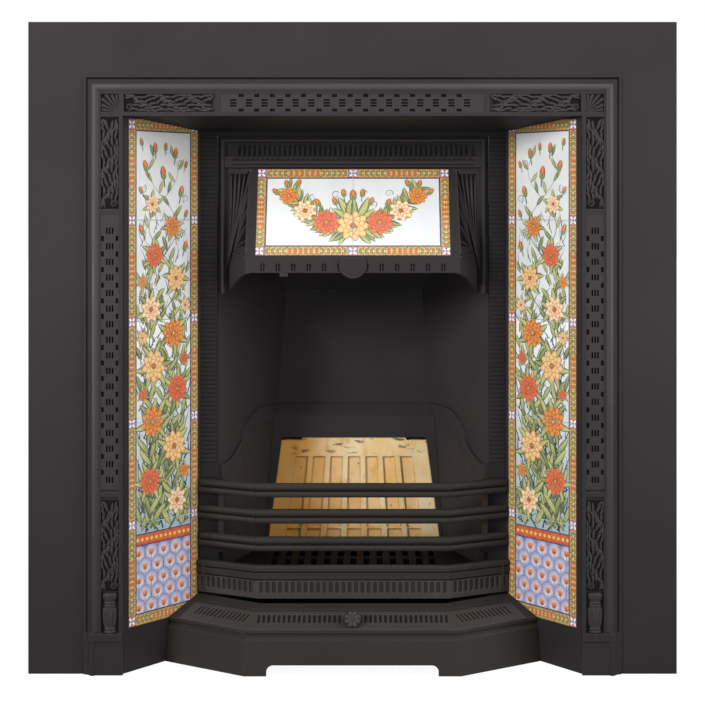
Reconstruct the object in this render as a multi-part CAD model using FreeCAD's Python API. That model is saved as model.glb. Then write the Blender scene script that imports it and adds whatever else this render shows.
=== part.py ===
"""Tiled cast iron fireplace with hood, bars, firebox, damper and ash pan.

Frame: millimetres, +X to the right as seen by someone facing the fire, +Y into
the wall, +Z up. Everything is drawn from the plate's front face (depth 0) and
is moved once, as it is written, so that the origin lies on the hearth in the
middle of the footprint.
"""
import math
import os

import FreeCAD
import Part

Vector = FreeCAD.Vector

# ---------------------------------------------------------------- front plate
PLATE_WIDTH = 965.0            # 38 in
PLATE_HEIGHT = 970.0
PLATE_THICKNESS = 8.0
RIM_DEPTH = 12.0               # rim turned back behind the plate's edge
RIM_WALL = 7.0

# ---------------------------------------------------- raised frame on the plate
OPENING_WIDTH = 682.0          # between the pilasters
OPENING_HEIGHT = 830.0
FRAME_COVE = 9.5
FRAME_BEAD = 9.0
FRAME_FLAT = 7.5
FRAME_BAND = 27.0              # sunk band that carries the ornament
FRAME_RIM = 5.5
FRAME_RISE = 9.0               # of the flats above the plate
BAND_SINK = 3.0
BEAD_RISE = 2.6                # of the bead's crown above the flats
LEDGE_HEIGHT = 7.0
PILASTER_LEDGE_HEIGHTS = (268.0, 687.5)   # middle of each ledge above the hearth
FRIEZE_LEDGE_OFFSET = 200.0    # middle of each frieze ledge from the centre
PILASTER_BLOCK_HEIGHT = 51.0
PILASTER_BASE_HEIGHT = 11.0
PILASTER_BASE_RISE = 3.0

# ----------------------------------------------------------- splayed tile frames
TILE_SIZE = 152.4              # 6 in
TILE_THICKNESS = 9.5
TILE_COUNT = 5
TILE_JOINT = 0.4
TILE_PILLOW = 1.0              # eased edge of a tile
SPLAY_ANGLE = 52.3             # between the splay and the plate, degrees
SPLAY_FRONT_MARGIN = 10.0
SPLAY_BACK_MARGIN = 3.5
SPLAY_LIP = 1.5                # lip over the tile's edge, wide and thick
TILE_CLEARANCE = 0.3
SPLAY_FLANGE_WIDTH = 30.0
SPLAY_FLANGE_THICKNESS = 6.0
SPLAY_RAIL_DEPTH = 18.0
APRON_HEIGHT = 65.0
TOP_BAR_HEIGHT = 22.0
BACKPLATE_THICKNESS = 2.0
BACKPLATE_OVERLAP = 14.0
BACKPLATE_SCREW_INSET = 26.0

# ------------------------------------------------------------------- soffit
SOFFIT_DROP = 17.0             # from front to back
SOFFIT_THICKNESS = 6.0
SOFFIT_FLANGE_HEIGHT = 15.0
SOFFIT_FLANGE_THICKNESS = 7.0

# --------------------------------------------------------------- arch plate
ARCH_THICKNESS = 8.0
FIRE_OPENING_WIDTH = 426.0
FIRE_OPENING_HEIGHT = 806.0
ARCH_HEIGHT = 845.0
JAMB_WALL = 8.0
JAMB_DEPTH = 17.2
ARCH_BLOCK_BOTTOM = 271.0      # plain blocks above the bars' ends
ARCH_BLOCK_TOP = 293.0
ARCH_BLOCK_RISE = 1.5
ARCH_LOWER_INSET = 2.5         # by which the legs are wider below the blocks
ARCH_FLANGE_SETBACK = 12.0     # of the outer flange behind the arch's face
ARCH_FLANGE_THICKNESS = 6.0
ARCH_FLANGE_WIDTH = 36.0

# --------------------------------------------------------------- hood frame
HOOD_SIDE_CLEARANCE = 0.5
HOOD_FIELD_SETBACK = 7.5
HOOD_FIELD_THICKNESS = 6.0
HOOD_BOTTOM_HEIGHT = 559.0
HOOD_MOULD_WIDTH = 7.0
HOOD_MOULD_INSET = 4.5
HOOD_MOULD_TOP = 803.0
HOOD_BAND_BOTTOM = 769.0
HOOD_BAND_TOP = 792.0
HOOD_BAND_HALF = 186.0
HOOD_BAND_RISE = 3.0
HOOD_LEDGE_BOTTOM = 757.0
HOOD_LEDGE_TOP = 774.0
HOOD_LEDGE_RISE = 6.5

# ------------------------------------------------------------------- canopy
CANOPY_FRONT_SETBACK = 70.0    # of the lip behind the plate's face
CANOPY_LIP_TOP = 619.0
CANOPY_LIP_BOTTOM = 594.0
CANOPY_LIP_BATTER = 2.0
CANOPY_LIP_HALF = 164.0
CANOPY_TOP_HALF = 161.0
CANOPY_BACK_HALF = 198.0
CANOPY_TILT = 26.7             # of the tiled face from upright, degrees
CANOPY_WALL = 6.0
CANOPY_CLEARANCE = 0.4
CANOPY_FLANGE_WIDTH = 8.0
CANOPY_FLANGE_THICKNESS = 5.0
CANOPY_SKIRT_FRONT_DROP = 6.0
CANOPY_SKIRT_BACK_DROP = 35.0
HOOD_TILE_LIP = 3.0
HOOD_TILE_LIP_THICKNESS = 1.5
HOOD_TILE_START = 0.6          # from the lip line, up the tiled face
TAB_RADIUS = 21.0
TAB_DROP = 9.0
TAB_THICKNESS = 4.0
RETAINER_WIDTH = 16.0
RETAINER_THICKNESS = 2.0
RETAINER_OVERHANG = 3.0
HOOD_BACK_THICKNESS = 5.0
DAMPER_SHELF_DEPTH = 10.0
DAMPER_SHELF_THICKNESS = 7.0

# ------------------------------------------------------------------ firebox
FIREBOX_WALL = 8.0
FIREBOX_DEPTH = 345.0          # of the back wall behind the plate's face
FIREBOX_BACK_TOP = 556.0
FIREBOX_SIDE_TOP = 700.0
BACK_HALF_WIDTH = 134.0        # of the back wall at the taper height
BACK_TAPER_HEIGHT = 307.0
BACK_TAPER = 0.078             # half width lost for each unit of height
CHEEK_FRONT_THICKNESS = 6.0
CHEEK_BACK_THICKNESS = 5.5
CHEEK_BOTTOM = 60.0
CHEEK_SHOULDER_LOW = 288.0
CHEEK_SHOULDER_HIGH = 363.0
CHEEK_OGEE_START = 155.0       # depth behind the plate's face
CHEEK_OGEE_END = 285.0
CHEEK_GAP = 0.5
LINER_THICKNESS = 25.0
LINER_CHAMFER = 22.0
BRICK_BOTTOM = 132.0
BRICK_TOP = 307.0
BRICK_FOOT_MARGIN = 4.5        # liner left at each side of the brick's foot
BRICK_HEAD_MARGIN = 15.9       # liner left at each side of the brick's head
BRICK_GAP = 0.5
BRICK_NOTCH_HALF = 90.0        # the raised middle of the brick's top
BRICK_NOTCH_DROP = 4.0
BRICK_FLUTE_COUNT = 7
BRICK_FLUTE_DEPTH = 3.5
BRICK_FLUTE_FILL = 0.68        # flute width over flute pitch
BRICK_MARGIN = 24.0
BRICK_TIER_TOP = 32.0
BRICK_TIER_HEIGHT = 118.0
BRICK_TIER_GAP = 3.0
GRATE_LEDGE_WIDTH = 16.0
GRATE_LEDGE_THICKNESS = 7.0

# ------------------------------------------------------------ throat, damper
THROAT_DEPTH = 225.0           # where the throat plate's upper edge lies
THROAT_HEIGHT = 646.0
THROAT_THICKNESS = 7.0
THROAT_SIDE_GAP = 0.5
DAMPER_THICKNESS = 5.0
DAMPER_HALF_WIDTH = 156.0
DAMPER_GAP = 0.3
DAMPER_FRONT_GAP = 2.0
DAMPER_SLEEVE = 4.0            # wall of the sleeve round the pin
DAMPER_PIN_RADIUS = 4.0
DAMPER_PIN_CLEARANCE = 0.08
DAMPER_PIN_LENGTH = 26.0
DAMPER_EAR_THICKNESS = 6.0
DAMPER_EAR_OFFSET = 146.0
DAMPER_EAR_REACH = 3.5
DAMPER_RING_RADIUS = 9.0
DAMPER_RING_WIRE = 2.5

# -------------------------------------------------------------------- grate
GRATE_TOP = 130.0
GRATE_THICKNESS = 16.0
GRATE_GAP = 1.5
GRATE_LIFT = 50.0
GRATE_SLOT_PITCH = 21.0
GRATE_SLOT_WIDTH = 10.0
GRATE_BORDER = 16.0
GRATE_RIB = 14.0

# --------------------------------------------------------------- front bars
BAR_SETBACK = 77.0             # of the middle facet behind the plate's face
BAR_CORNER = 149.0
BAR_ANGLE = 27.6
BAR_HEIGHT = 20.5
BAR_DEPTH = 14.0
BAR_STEP = 4.0
BAR_BOTTOMS = (166.0, 208.5, 248.5)
BAR_END_GAP = 0.3
BAR_UPRIGHT_WIDTH = 8.0
BAR_UPRIGHT_INSET = 1.0
BAR_UPRIGHT_DEPTH = 14.0
BAR_BRACKET_WIDTH = 12.0
BAR_BRACKET_HEIGHT = 12.0
BAR_TONGUE_WIDTH = 4.0
BAR_TONGUE_DEPTH = 7.0
BAR_TONGUE_LENGTH = 8.0
BAR_TONGUE_CLEARANCE = 0.5

# --------------------------------------------------------------- lower fret
FRET_BOTTOM = 94.0
FRET_TOP = 144.0
FRET_BEAD_HEIGHT = 9.5
FRET_WALL = 8.0
FRET_BEAD_RISE = 4.0

# ------------------------------------------------------------- ash-pit cover
COVER_SETBACK = -14.0          # the foot stands in front of the plate's face
COVER_CORNER = 161.0
COVER_ANGLE = 33.5
COVER_WALL = 7.0
COVER_BATTER = 5.0
COVER_FACE_TOP = 52.0
COVER_COVE_TOP = 62.0
COVER_COVE_DEPTH = 5.0
COVER_LIP_TOP = 66.0
COVER_LIP_REACH = 4.0
COVER_SLOPE_DEPTH = 66.0
COVER_TOP = 91.0
COVER_END_GAP = 1.0
COVER_ARCH_HALF = 127.8        # raised part between the feet
COVER_ARCH_HEIGHT = 15.8
COVER_ARCH_RADIUS = 10.0
KNOB_RADIUS = 13.0
KNOB_THICKNESS = 8.0
KNOB_FACE_TILT = 25.0          # of the knob's face above level, degrees
KNOB_NECK_RADIUS = 5.0
KNOB_NECK_LENGTH = 10.0
KNOB_SLOPE_PLACE = 0.23        # up the slope, as a share of it
KNOB_NUT_FLATS = 10.0
KNOB_NUT_HEIGHT = 4.0
KNOB_STUD_TAIL = 8.0

# ------------------------------------------------------------------ ash pan
PAN_HALF_WIDTH = 128.0
PAN_FRONT = 100.0
PAN_STOP_GAP = 0.3             # to the back liner
PAN_HEIGHT = 66.0
PAN_WALL = 2.0
PAN_HANDLE_HALF = 40.0
PAN_HANDLE_REACH = 16.0
PAN_HANDLE_RADIUS = 4.0
PAN_HANDLE_HEIGHT = 50.0
PIT_FLOOR_THICKNESS = 4.0
PIT_FLOOR_FRONT = 96.0
PIT_FLOOR_GAP = 0.5

# ---------------------------------------------------------------- fastenings
BOLT_RADIUS = 4.0
BOLT_HEAD_FLATS = 13.0
BOLT_HEAD_HEIGHT = 5.3
NUT_HEIGHT = 6.5
BOLT_CLEARANCE = 0.3
SCREW_RADIUS = 2.5
SCREW_HEAD_RADIUS = 4.6
SCREW_HEAD_HEIGHT = 2.6
LUG_THICKNESS = 6.0
LUG_HEIGHT = 40.0
LUG_REACH = 46.0
LUG_FOOT = 34.0
LUG_HOLE_RADIUS = 5.5
LUG_HOLE_DEPTH = 46.0          # hole's middle behind the plate's face
LUG_OFFSET = 420.0             # outer face of the lug from the centre
LUG_HEIGHTS = (160.0, 800.0)

# ------------------------------------------------------------- worked-out places
HALF_PLATE = PLATE_WIDTH / 2
HALF_OPENING = OPENING_WIDTH / 2
FRAME_WIDTH = FRAME_COVE + FRAME_BEAD + FRAME_FLAT + FRAME_BAND + FRAME_RIM
FRAME_OUTER = HALF_OPENING + FRAME_WIDTH
FRAME_TOP = OPENING_HEIGHT + FRAME_WIDTH
BAND_OUTER = HALF_OPENING + FRAME_RIM + FRAME_BAND
BAND_INNER = HALF_OPENING + FRAME_RIM
BAND_LOW = OPENING_HEIGHT + FRAME_RIM
BAND_HIGH = BAND_LOW + FRAME_BAND

SPLAY_LENGTH = SPLAY_FRONT_MARGIN + TILE_SIZE + SPLAY_BACK_MARGIN
SPLAY_COS = math.cos(math.radians(SPLAY_ANGLE))
SPLAY_SIN = math.sin(math.radians(SPLAY_ANGLE))
ARCH_FACE = SPLAY_LENGTH * SPLAY_SIN
ARCH_LEG_OUTER = HALF_OPENING - SPLAY_LENGTH * SPLAY_COS
ARCH_BACK = ARCH_FACE + ARCH_THICKNESS
JAMB_END = ARCH_FACE + JAMB_DEPTH
ARCH_FLANGE_FACE = ARCH_FACE + ARCH_FLANGE_SETBACK
HALF_FIRE = FIRE_OPENING_WIDTH / 2
LOWER_JAMB = HALF_FIRE - ARCH_LOWER_INSET
UPRIGHT_OUTER = LOWER_JAMB - BAR_UPRIGHT_INSET
UPRIGHT_INNER = UPRIGHT_OUTER - BAR_UPRIGHT_WIDTH
TONGUE_FRONT = ARCH_FACE + BAR_UPRIGHT_DEPTH / 2 - BAR_TONGUE_DEPTH / 2
TILE_PLANE = -SPLAY_LIP                       # tile's face in the splay's own depth
TILE_BACK_PLANE = TILE_PLANE - TILE_THICKNESS
TILE_TOP = APRON_HEIGHT + TILE_COUNT * TILE_SIZE
SPLAY_TOP = TILE_TOP + TOP_BAR_HEIGHT

HOOD_HALF = HALF_FIRE - HOOD_SIDE_CLEARANCE
HOOD_FIELD = ARCH_FACE + HOOD_FIELD_SETBACK
HOOD_BACK = HOOD_FIELD + HOOD_FIELD_THICKNESS
HOOD_MOULD_OUTER = HOOD_HALF - HOOD_MOULD_INSET
CANOPY_RUN = math.tan(math.radians(CANOPY_TILT))
CANOPY_TOP = CANOPY_LIP_TOP + (HOOD_BACK - CANOPY_FRONT_SETBACK) / CANOPY_RUN
CANOPY_FLANGE_BACK = HOOD_BACK + CANOPY_FLANGE_THICKNESS
HOOD_BACK_FACE = CANOPY_FLANGE_BACK
HOOD_PLATE_BACK = HOOD_BACK_FACE + HOOD_BACK_THICKNESS

LINER_FACE = FIREBOX_DEPTH - LINER_THICKNESS
SIDE_START = JAMB_END
THROAT_RUN = FIREBOX_DEPTH - THROAT_DEPTH
THROAT_RISE = THROAT_HEIGHT - FIREBOX_BACK_TOP
THROAT_SLANT = math.hypot(THROAT_RUN, THROAT_RISE)
DAMPER_UNDERSIDE = THROAT_HEIGHT + THROAT_THICKNESS * THROAT_RUN / THROAT_SLANT + DAMPER_GAP
DAMPER_SLEEVE_RADIUS = DAMPER_PIN_RADIUS + DAMPER_SLEEVE
DAMPER_AXIS_HEIGHT = DAMPER_UNDERSIDE + DAMPER_SLEEVE_RADIUS
DAMPER_AXIS_DEPTH = THROAT_DEPTH + DAMPER_SLEEVE_RADIUS
DAMPER_SHELF_BOTTOM = DAMPER_UNDERSIDE - DAMPER_GAP - DAMPER_SHELF_THICKNESS
GRATE_LEDGE_TOP = GRATE_TOP - GRATE_THICKNESS


# --------------------------------------------------------------------- helpers
def box(x0, x1, y0, y1, z0, z1):
    """Box between two corners."""
    return Part.makeBox(x1 - x0, y1 - y0, z1 - z0, Vector(x0, y0, z0))


def polygon_face(points):
    """Plane face through the points."""
    vectors = [Vector(*p) for p in points]
    return Part.Face(Part.makePolygon(vectors + vectors[:1]))


def plan_prism(points, z0, z1):
    """Plan outline drawn up from z0 to z1."""
    return polygon_face([(x, y, z0) for x, y in points]).extrude(Vector(0, 0, z1 - z0))


def front_prism(points, y0, y1):
    """Outline in X and Z drawn back from y0 to y1."""
    return polygon_face([(x, y0, z) for x, z in points]).extrude(Vector(0, y1 - y0, 0))


def side_prism(points, x0, x1):
    """Outline in Y and Z drawn across from x0 to x1."""
    return polygon_face([(x0, y, z) for y, z in points]).extrude(Vector(x1 - x0, 0, 0))


def cylinder(radius, length, base, axis):
    """Cylinder from its base point along its axis."""
    return Part.makeCylinder(radius, length, Vector(*base), Vector(*axis))


def fuse(shapes):
    """One solid from shapes that meet."""
    first, rest = shapes[0], shapes[1:]
    return first.fuse(rest).removeSplitter() if rest else first


def mirrored(shape):
    """The same piece on the other side of the fireplace."""
    return shape.mirror(Vector(0, 0, 0), Vector(1, 0, 0))


def polyhedron(vertices, faces):
    """Solid from corner points and the corners of each face."""
    shell = Part.Shell([polygon_face([vertices[i] for i in face]) for face in faces])
    solid = Part.Solid(shell)
    solid.fix(1e-6, 1e-6, 1e-6)
    return solid


def plan_loft(low_points, z0, high_points, z1):
    """Ruled solid between two plan outlines."""
    wires = []
    for points, z in ((low_points, z0), (high_points, z1)):
        vectors = [Vector(x, y, z) for x, y in points]
        wires.append(Part.makePolygon(vectors + vectors[:1]))
    return Part.makeLoft(wires, True, True)


def depth_loft(front_points, y0, back_points, y1):
    """Ruled solid between two upright outlines in X and Z."""
    wires = []
    for points, y in ((front_points, y0), (back_points, y1)):
        vectors = [Vector(x, y, z) for x, z in points]
        wires.append(Part.makePolygon(vectors + vectors[:1]))
    return Part.makeLoft(wires, True, True)


def mitred_sweep(path_points, profile):
    """Profile wire carried along a path with mitred corners."""
    path = Part.makePolygon([Vector(*p) for p in path_points])
    shell = path.makePipeShell([profile], True, False, 1)
    return Part.Solid(shell) if shell.ShapeType != "Solid" else shell


def hexagon(flats, height, base, axis):
    """Hexagonal head or nut."""
    radius = flats / math.sqrt(3)
    corners = [(radius * math.cos(math.radians(60 * i)),
                radius * math.sin(math.radians(60 * i)), 0) for i in range(6)]
    prism = polygon_face(corners).extrude(Vector(0, 0, height))
    turn = FreeCAD.Rotation(Vector(0, 0, 1), Vector(*axis))
    return prism.transformed(FreeCAD.Placement(Vector(*base), turn).toMatrix())


def bolt(base, axis, grip):
    """Hexagon bolt: head behind the base point, shank along the axis, nut after the grip."""
    along = Vector(*axis)
    head = hexagon(BOLT_HEAD_FLATS, BOLT_HEAD_HEIGHT, Vector(*base) - along * BOLT_HEAD_HEIGHT, axis)
    shank = Part.makeCylinder(BOLT_RADIUS, grip + NUT_HEIGHT, Vector(*base), along)
    nut = hexagon(BOLT_HEAD_FLATS, NUT_HEIGHT, Vector(*base) + along * grip, axis)
    return fuse([head, shank, nut])


def bolt_hole(base, axis, grip):
    """Clearance hole for a bolt."""
    along = Vector(*axis)
    return Part.makeCylinder(BOLT_RADIUS + BOLT_CLEARANCE, grip + 2, Vector(*base) - along, along)


def screw(base, axis, length):
    """Round-headed screw: head behind the base point, shank along the axis."""
    along = Vector(*axis)
    head = Part.makeCylinder(SCREW_HEAD_RADIUS, SCREW_HEAD_HEIGHT,
                             Vector(*base) - along * SCREW_HEAD_HEIGHT, along)
    return fuse([head, Part.makeCylinder(SCREW_RADIUS, length, Vector(*base), along)])


def in_splay(shape):
    """Set a shape drawn as (along, towards the room, up) onto the right splay."""
    turn = FreeCAD.Rotation(Vector(0, 0, 1), 180 - SPLAY_ANGLE)
    return shape.transformed(FreeCAD.Placement(Vector(HALF_OPENING, 0, 0), turn).toMatrix())


def on_canopy(shape):
    """Set a shape drawn as (across, up the tiled face, out of it) onto the canopy."""
    turn = FreeCAD.Rotation(Vector(1, 0, 0), 90 - CANOPY_TILT)
    base = Vector(0, CANOPY_FRONT_SETBACK, CANOPY_LIP_TOP)
    return shape.transformed(FreeCAD.Placement(base, turn).toMatrix())


def back_half_width(height):
    """Half width of the tapering back wall at a height."""
    return BACK_HALF_WIDTH + (BACK_TAPER_HEIGHT - height) * BACK_TAPER


def side_wall_x(depth, height):
    """Inner face of the right firebox wall."""
    share = (depth - SIDE_START) / (FIREBOX_DEPTH - SIDE_START)
    return HALF_FIRE + share * (back_half_width(height) - HALF_FIRE)


def cheek_x(depth, height):
    """Inner face of the right liner cheek."""
    share = (depth - SIDE_START) / (FIREBOX_DEPTH - SIDE_START)
    thickness = CHEEK_FRONT_THICKNESS + share * (CHEEK_BACK_THICKNESS - CHEEK_FRONT_THICKNESS)
    return side_wall_x(depth, height) - CHEEK_GAP - thickness


def faceted_path(setback, corner, angle, reach, height):
    """Five-sided front in plan: middle facet and a facet running back at each side."""
    run = reach * math.cos(math.radians(angle))
    back = reach * math.sin(math.radians(angle))
    right = [(corner, setback, height), (corner + run, setback + back, height)]
    left = [(-x, y, z) for x, y, z in reversed(right)]
    return left + right


def facet_profile(start, angle, points):
    """Closed profile square to the path's left end: (inwards from the front, height)."""
    inward = Vector(math.sin(math.radians(angle)), math.cos(math.radians(angle)), 0)
    vectors = [Vector(start[0], start[1], 0) + inward * depth + Vector(0, 0, z)
               for depth, z in points]
    return Part.makePolygon(vectors + vectors[:1])


def faceted_piece(setback, corner, angle, points):
    """Profile carried round the faceted front."""
    path = faceted_path(setback, corner, angle, HALF_OPENING, 0)
    return mitred_sweep(path, facet_profile(path[0], angle, points))


# --------------------------------------------------------------- front surround
def frame_profile():
    """Section of the raised frame at the foot of the left pilaster."""
    top = FRAME_RISE
    cove_end = FRAME_COVE
    bead_end = cove_end + FRAME_BEAD
    flat_end = bead_end + FRAME_FLAT
    band_end = flat_end + FRAME_BAND

    def at(inward, rise):
        return Vector(-FRAME_OUTER + inward, -rise, 0)

    step = FRAME_RISE / 3
    edges = [
        Part.LineSegment(at(0, -1), at(0, step)),
        Part.Arc(at(0, step), at(cove_end * 0.62, step * 1.7), at(cove_end, top)),
        Part.Arc(at(cove_end, top), at((cove_end + bead_end) / 2, top + BEAD_RISE), at(bead_end, top)),
        Part.LineSegment(at(bead_end, top), at(flat_end, top)),
        Part.LineSegment(at(flat_end, top), at(flat_end, top - BAND_SINK)),
        Part.LineSegment(at(flat_end, top - BAND_SINK), at(band_end, top - BAND_SINK)),
        Part.LineSegment(at(band_end, top - BAND_SINK), at(band_end, top)),
        Part.LineSegment(at(band_end, top), at(FRAME_WIDTH, top)),
        Part.LineSegment(at(FRAME_WIDTH, top), at(FRAME_WIDTH, -1)),
        Part.LineSegment(at(FRAME_WIDTH, -1), at(0, -1)),
    ]
    return Part.Wire([edge.toShape() for edge in edges])


def surround_ledges():
    """Ledges and blocks that divide the sunk band into panels."""
    front = -FRAME_RISE
    half = LEDGE_HEIGHT / 2
    pieces = []
    for side in (-1, 1):
        x0, x1 = sorted((side * (BAND_INNER - 1), side * (BAND_OUTER + 1)))
        for height in PILASTER_LEDGE_HEIGHTS:
            pieces.append(box(x0, x1, front, -1, height - half, height + half))
        for height in (BAND_LOW - half, ):
            pieces.append(box(x0, x1, front, -1, height - half, height + half))
        x0, x1 = sorted((side * BAND_INNER, side * (BAND_INNER - LEDGE_HEIGHT)))
        pieces.append(box(x0, x1, front, -1, BAND_LOW - 1, BAND_HIGH + 1))
        middle = side * FRIEZE_LEDGE_OFFSET
        pieces.append(box(middle - half, middle + half, front, -1, BAND_LOW - 1, BAND_HIGH + 1))
        x0, x1 = sorted((side * HALF_OPENING, side * (FRAME_OUTER - FRAME_COVE)))
        pieces.append(box(x0, x1, front, 0, 0, PILASTER_BLOCK_HEIGHT))
        pieces.append(box(x0, x1, front - PILASTER_BASE_RISE, 0, PILASTER_BLOCK_HEIGHT,
                          PILASTER_BLOCK_HEIGHT + PILASTER_BASE_HEIGHT))
    return pieces


def surround_bolt_places():
    """Where the splay flanges bolt to the plate's back: (x, z) on the right side."""
    x = HALF_OPENING + SPLAY_FLANGE_WIDTH * 0.7
    return [(x, z) for z in (APRON_HEIGHT * 0.6, TILE_TOP * 0.38, TILE_TOP * 0.7, TILE_TOP - 20)]


def lug_places():
    """Middle of each wall lug's foot: (x, z) on the right side."""
    x = LUG_OFFSET - LUG_FOOT / 2
    return [(x, z) for z in LUG_HEIGHTS]


def front_surround():
    """Outer plate with its rim and the raised moulded frame."""
    inside = [(-HALF_OPENING, 0), (-HALF_OPENING, OPENING_HEIGHT),
              (HALF_OPENING, OPENING_HEIGHT), (HALF_OPENING, 0)]
    outside = [(HALF_PLATE, 0), (HALF_PLATE, PLATE_HEIGHT), (-HALF_PLATE, PLATE_HEIGHT), (-HALF_PLATE, 0)]
    plate = front_prism(inside + outside, 0, PLATE_THICKNESS)
    rim_back = PLATE_THICKNESS + RIM_DEPTH
    rim = [box(-HALF_PLATE, HALF_PLATE, 0, rim_back, PLATE_HEIGHT - RIM_WALL, PLATE_HEIGHT),
           box(-HALF_PLATE, -HALF_PLATE + RIM_WALL, 0, rim_back, 0, PLATE_HEIGHT),
           box(HALF_PLATE - RIM_WALL, HALF_PLATE, 0, rim_back, 0, PLATE_HEIGHT)]
    path = [(-FRAME_OUTER, 0, 0), (-FRAME_OUTER, 0, FRAME_TOP), (FRAME_OUTER, 0, FRAME_TOP), (FRAME_OUTER, 0, 0)]
    frame = mitred_sweep(path, frame_profile())
    surround = fuse([plate, frame] + rim + surround_ledges())
    holes = []
    for side in (-1, 1):
        for x, z in surround_bolt_places() + lug_places():
            holes.append(cylinder(BOLT_RADIUS, PLATE_THICKNESS - 3, (side * x, 3, z), (0, 1, 0)))
    return surround.cut(holes)


# ----------------------------------------------------------- splayed tile frames
def splay_frame():
    """Right tile frame: two rails with lips, apron, top bar and bolting flanges."""
    tile_start = SPLAY_FRONT_MARGIN
    tile_end = tile_start + TILE_SIZE
    lip_start = tile_start + SPLAY_LIP
    lip_end = tile_end - SPLAY_LIP
    rail_start = tile_start - TILE_CLEARANCE
    rail_end = tile_end + TILE_CLEARANCE
    front_rail = [(0, 0), (lip_start, 0), (lip_start, -SPLAY_LIP), (rail_start, -SPLAY_LIP),
                  (rail_start, -SPLAY_RAIL_DEPTH), (0, -SPLAY_RAIL_DEPTH)]
    back_rail = [(SPLAY_LENGTH, 0), (SPLAY_LENGTH, -SPLAY_RAIL_DEPTH), (rail_end, -SPLAY_RAIL_DEPTH),
                 (rail_end, -SPLAY_LIP), (lip_end, -SPLAY_LIP), (lip_end, 0)]
    rails = [plan_prism(points, 0, SPLAY_TOP) for points in (front_rail, back_rail)]
    bars = [box(rail_start - 1, rail_end + 1, TILE_BACK_PLANE, 0, 0, APRON_HEIGHT - TILE_CLEARANCE),
            box(rail_start - 1, rail_end + 1, TILE_BACK_PLANE, 0, TILE_TOP + TILE_CLEARANCE, SPLAY_TOP)]
    angled = [in_splay(shape) for shape in rails + bars]
    flange_start = PLATE_THICKNESS
    front_flange = box(HALF_OPENING, HALF_OPENING + SPLAY_FLANGE_WIDTH, flange_start,
                       flange_start + SPLAY_FLANGE_THICKNESS, 0, SPLAY_TOP)
    corner = rail_back_corner()
    back_flange = box(corner[0] - 2, corner[0] + 22, ARCH_FLANGE_FACE - SPLAY_FLANGE_THICKNESS,
                      ARCH_FLANGE_FACE, 0, SPLAY_TOP)
    frame = fuse(angled + [front_flange, back_flange])
    behind_plate = box(HALF_OPENING - TILE_CLEARANCE, HALF_PLATE, -FRAME_RISE, flange_start, -1, SPLAY_TOP + 1)
    above_opening = box(-HALF_OPENING, HALF_OPENING, -FRAME_RISE, flange_start,
                        OPENING_HEIGHT - TILE_CLEARANCE, SPLAY_TOP + 1)
    past_arch = box(0, corner[0] + 40, ARCH_FLANGE_FACE, FIREBOX_DEPTH, -1, SPLAY_TOP + 1)
    leg_zone = box(0, ARCH_LEG_OUTER, ARCH_FACE, FIREBOX_DEPTH, -1, SPLAY_TOP + 1)
    pocket = in_splay(box(rail_start, rail_end, -SPLAY_RAIL_DEPTH, TILE_PLANE,
                          APRON_HEIGHT - TILE_CLEARANCE, TILE_TOP + TILE_CLEARANCE))
    frame = frame.cut([behind_plate, above_opening, past_arch, leg_zone, pocket])
    holes = [bolt_hole((x, flange_start, z), (0, 1, 0), SPLAY_FLANGE_THICKNESS)
             for x, z in surround_bolt_places()]
    holes += [bolt_hole((x, ARCH_FLANGE_FACE - SPLAY_FLANGE_THICKNESS, z), (0, 1, 0), SPLAY_FLANGE_THICKNESS)
              for x, z in arch_bolt_places()]
    return frame.cut(holes + [backplate_screw_hole(u, z) for u, z in backplate_screw_places()])


def rail_back_corner():
    """Rearmost corner of the back rail in plan, on the right side."""
    x = HALF_OPENING - SPLAY_LENGTH * SPLAY_COS + SPLAY_RAIL_DEPTH * SPLAY_SIN
    y = SPLAY_LENGTH * SPLAY_SIN + SPLAY_RAIL_DEPTH * SPLAY_COS
    return x, y


def arch_bolt_places():
    """Where the splay's back flange bolts to the arch plate: (x, z) on the right side."""
    x = rail_back_corner()[0] + 13
    return [(x, z) for z in (APRON_HEIGHT * 0.6, TILE_TOP * 0.5, TILE_TOP)]


def backplate_screw_places():
    """Screws of the tile back plate: (along the splay, z)."""
    low = APRON_HEIGHT - BACKPLATE_OVERLAP / 2
    high = TILE_TOP + BACKPLATE_OVERLAP / 2
    inner = SPLAY_FRONT_MARGIN + BACKPLATE_SCREW_INSET
    outer = SPLAY_FRONT_MARGIN + TILE_SIZE - BACKPLATE_SCREW_INSET
    return [(u, z) for u in (inner, outer) for z in (low, high)]


def backplate_screw_hole(u, z):
    """Tapped hole in the apron or the top bar."""
    depth = TILE_THICKNESS * 0.7
    return in_splay(cylinder(SCREW_RADIUS, depth, (u, TILE_BACK_PLANE, z), (0, 1, 0)))


def side_tile(index):
    """One tile of the right splay, counted from the bottom."""
    low = APRON_HEIGHT + index * TILE_SIZE + TILE_JOINT / 2
    tile = box(SPLAY_FRONT_MARGIN, SPLAY_FRONT_MARGIN + TILE_SIZE, TILE_BACK_PLANE, TILE_PLANE,
               low, low + TILE_SIZE - TILE_JOINT)
    face_edges = [e for e in tile.Edges if all(abs(v.Y - TILE_PLANE) < 1e-6 for v in e.Vertexes)]
    return in_splay(tile.makeChamfer(min(TILE_PILLOW, SPLAY_LIP * 0.9), face_edges))


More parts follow.
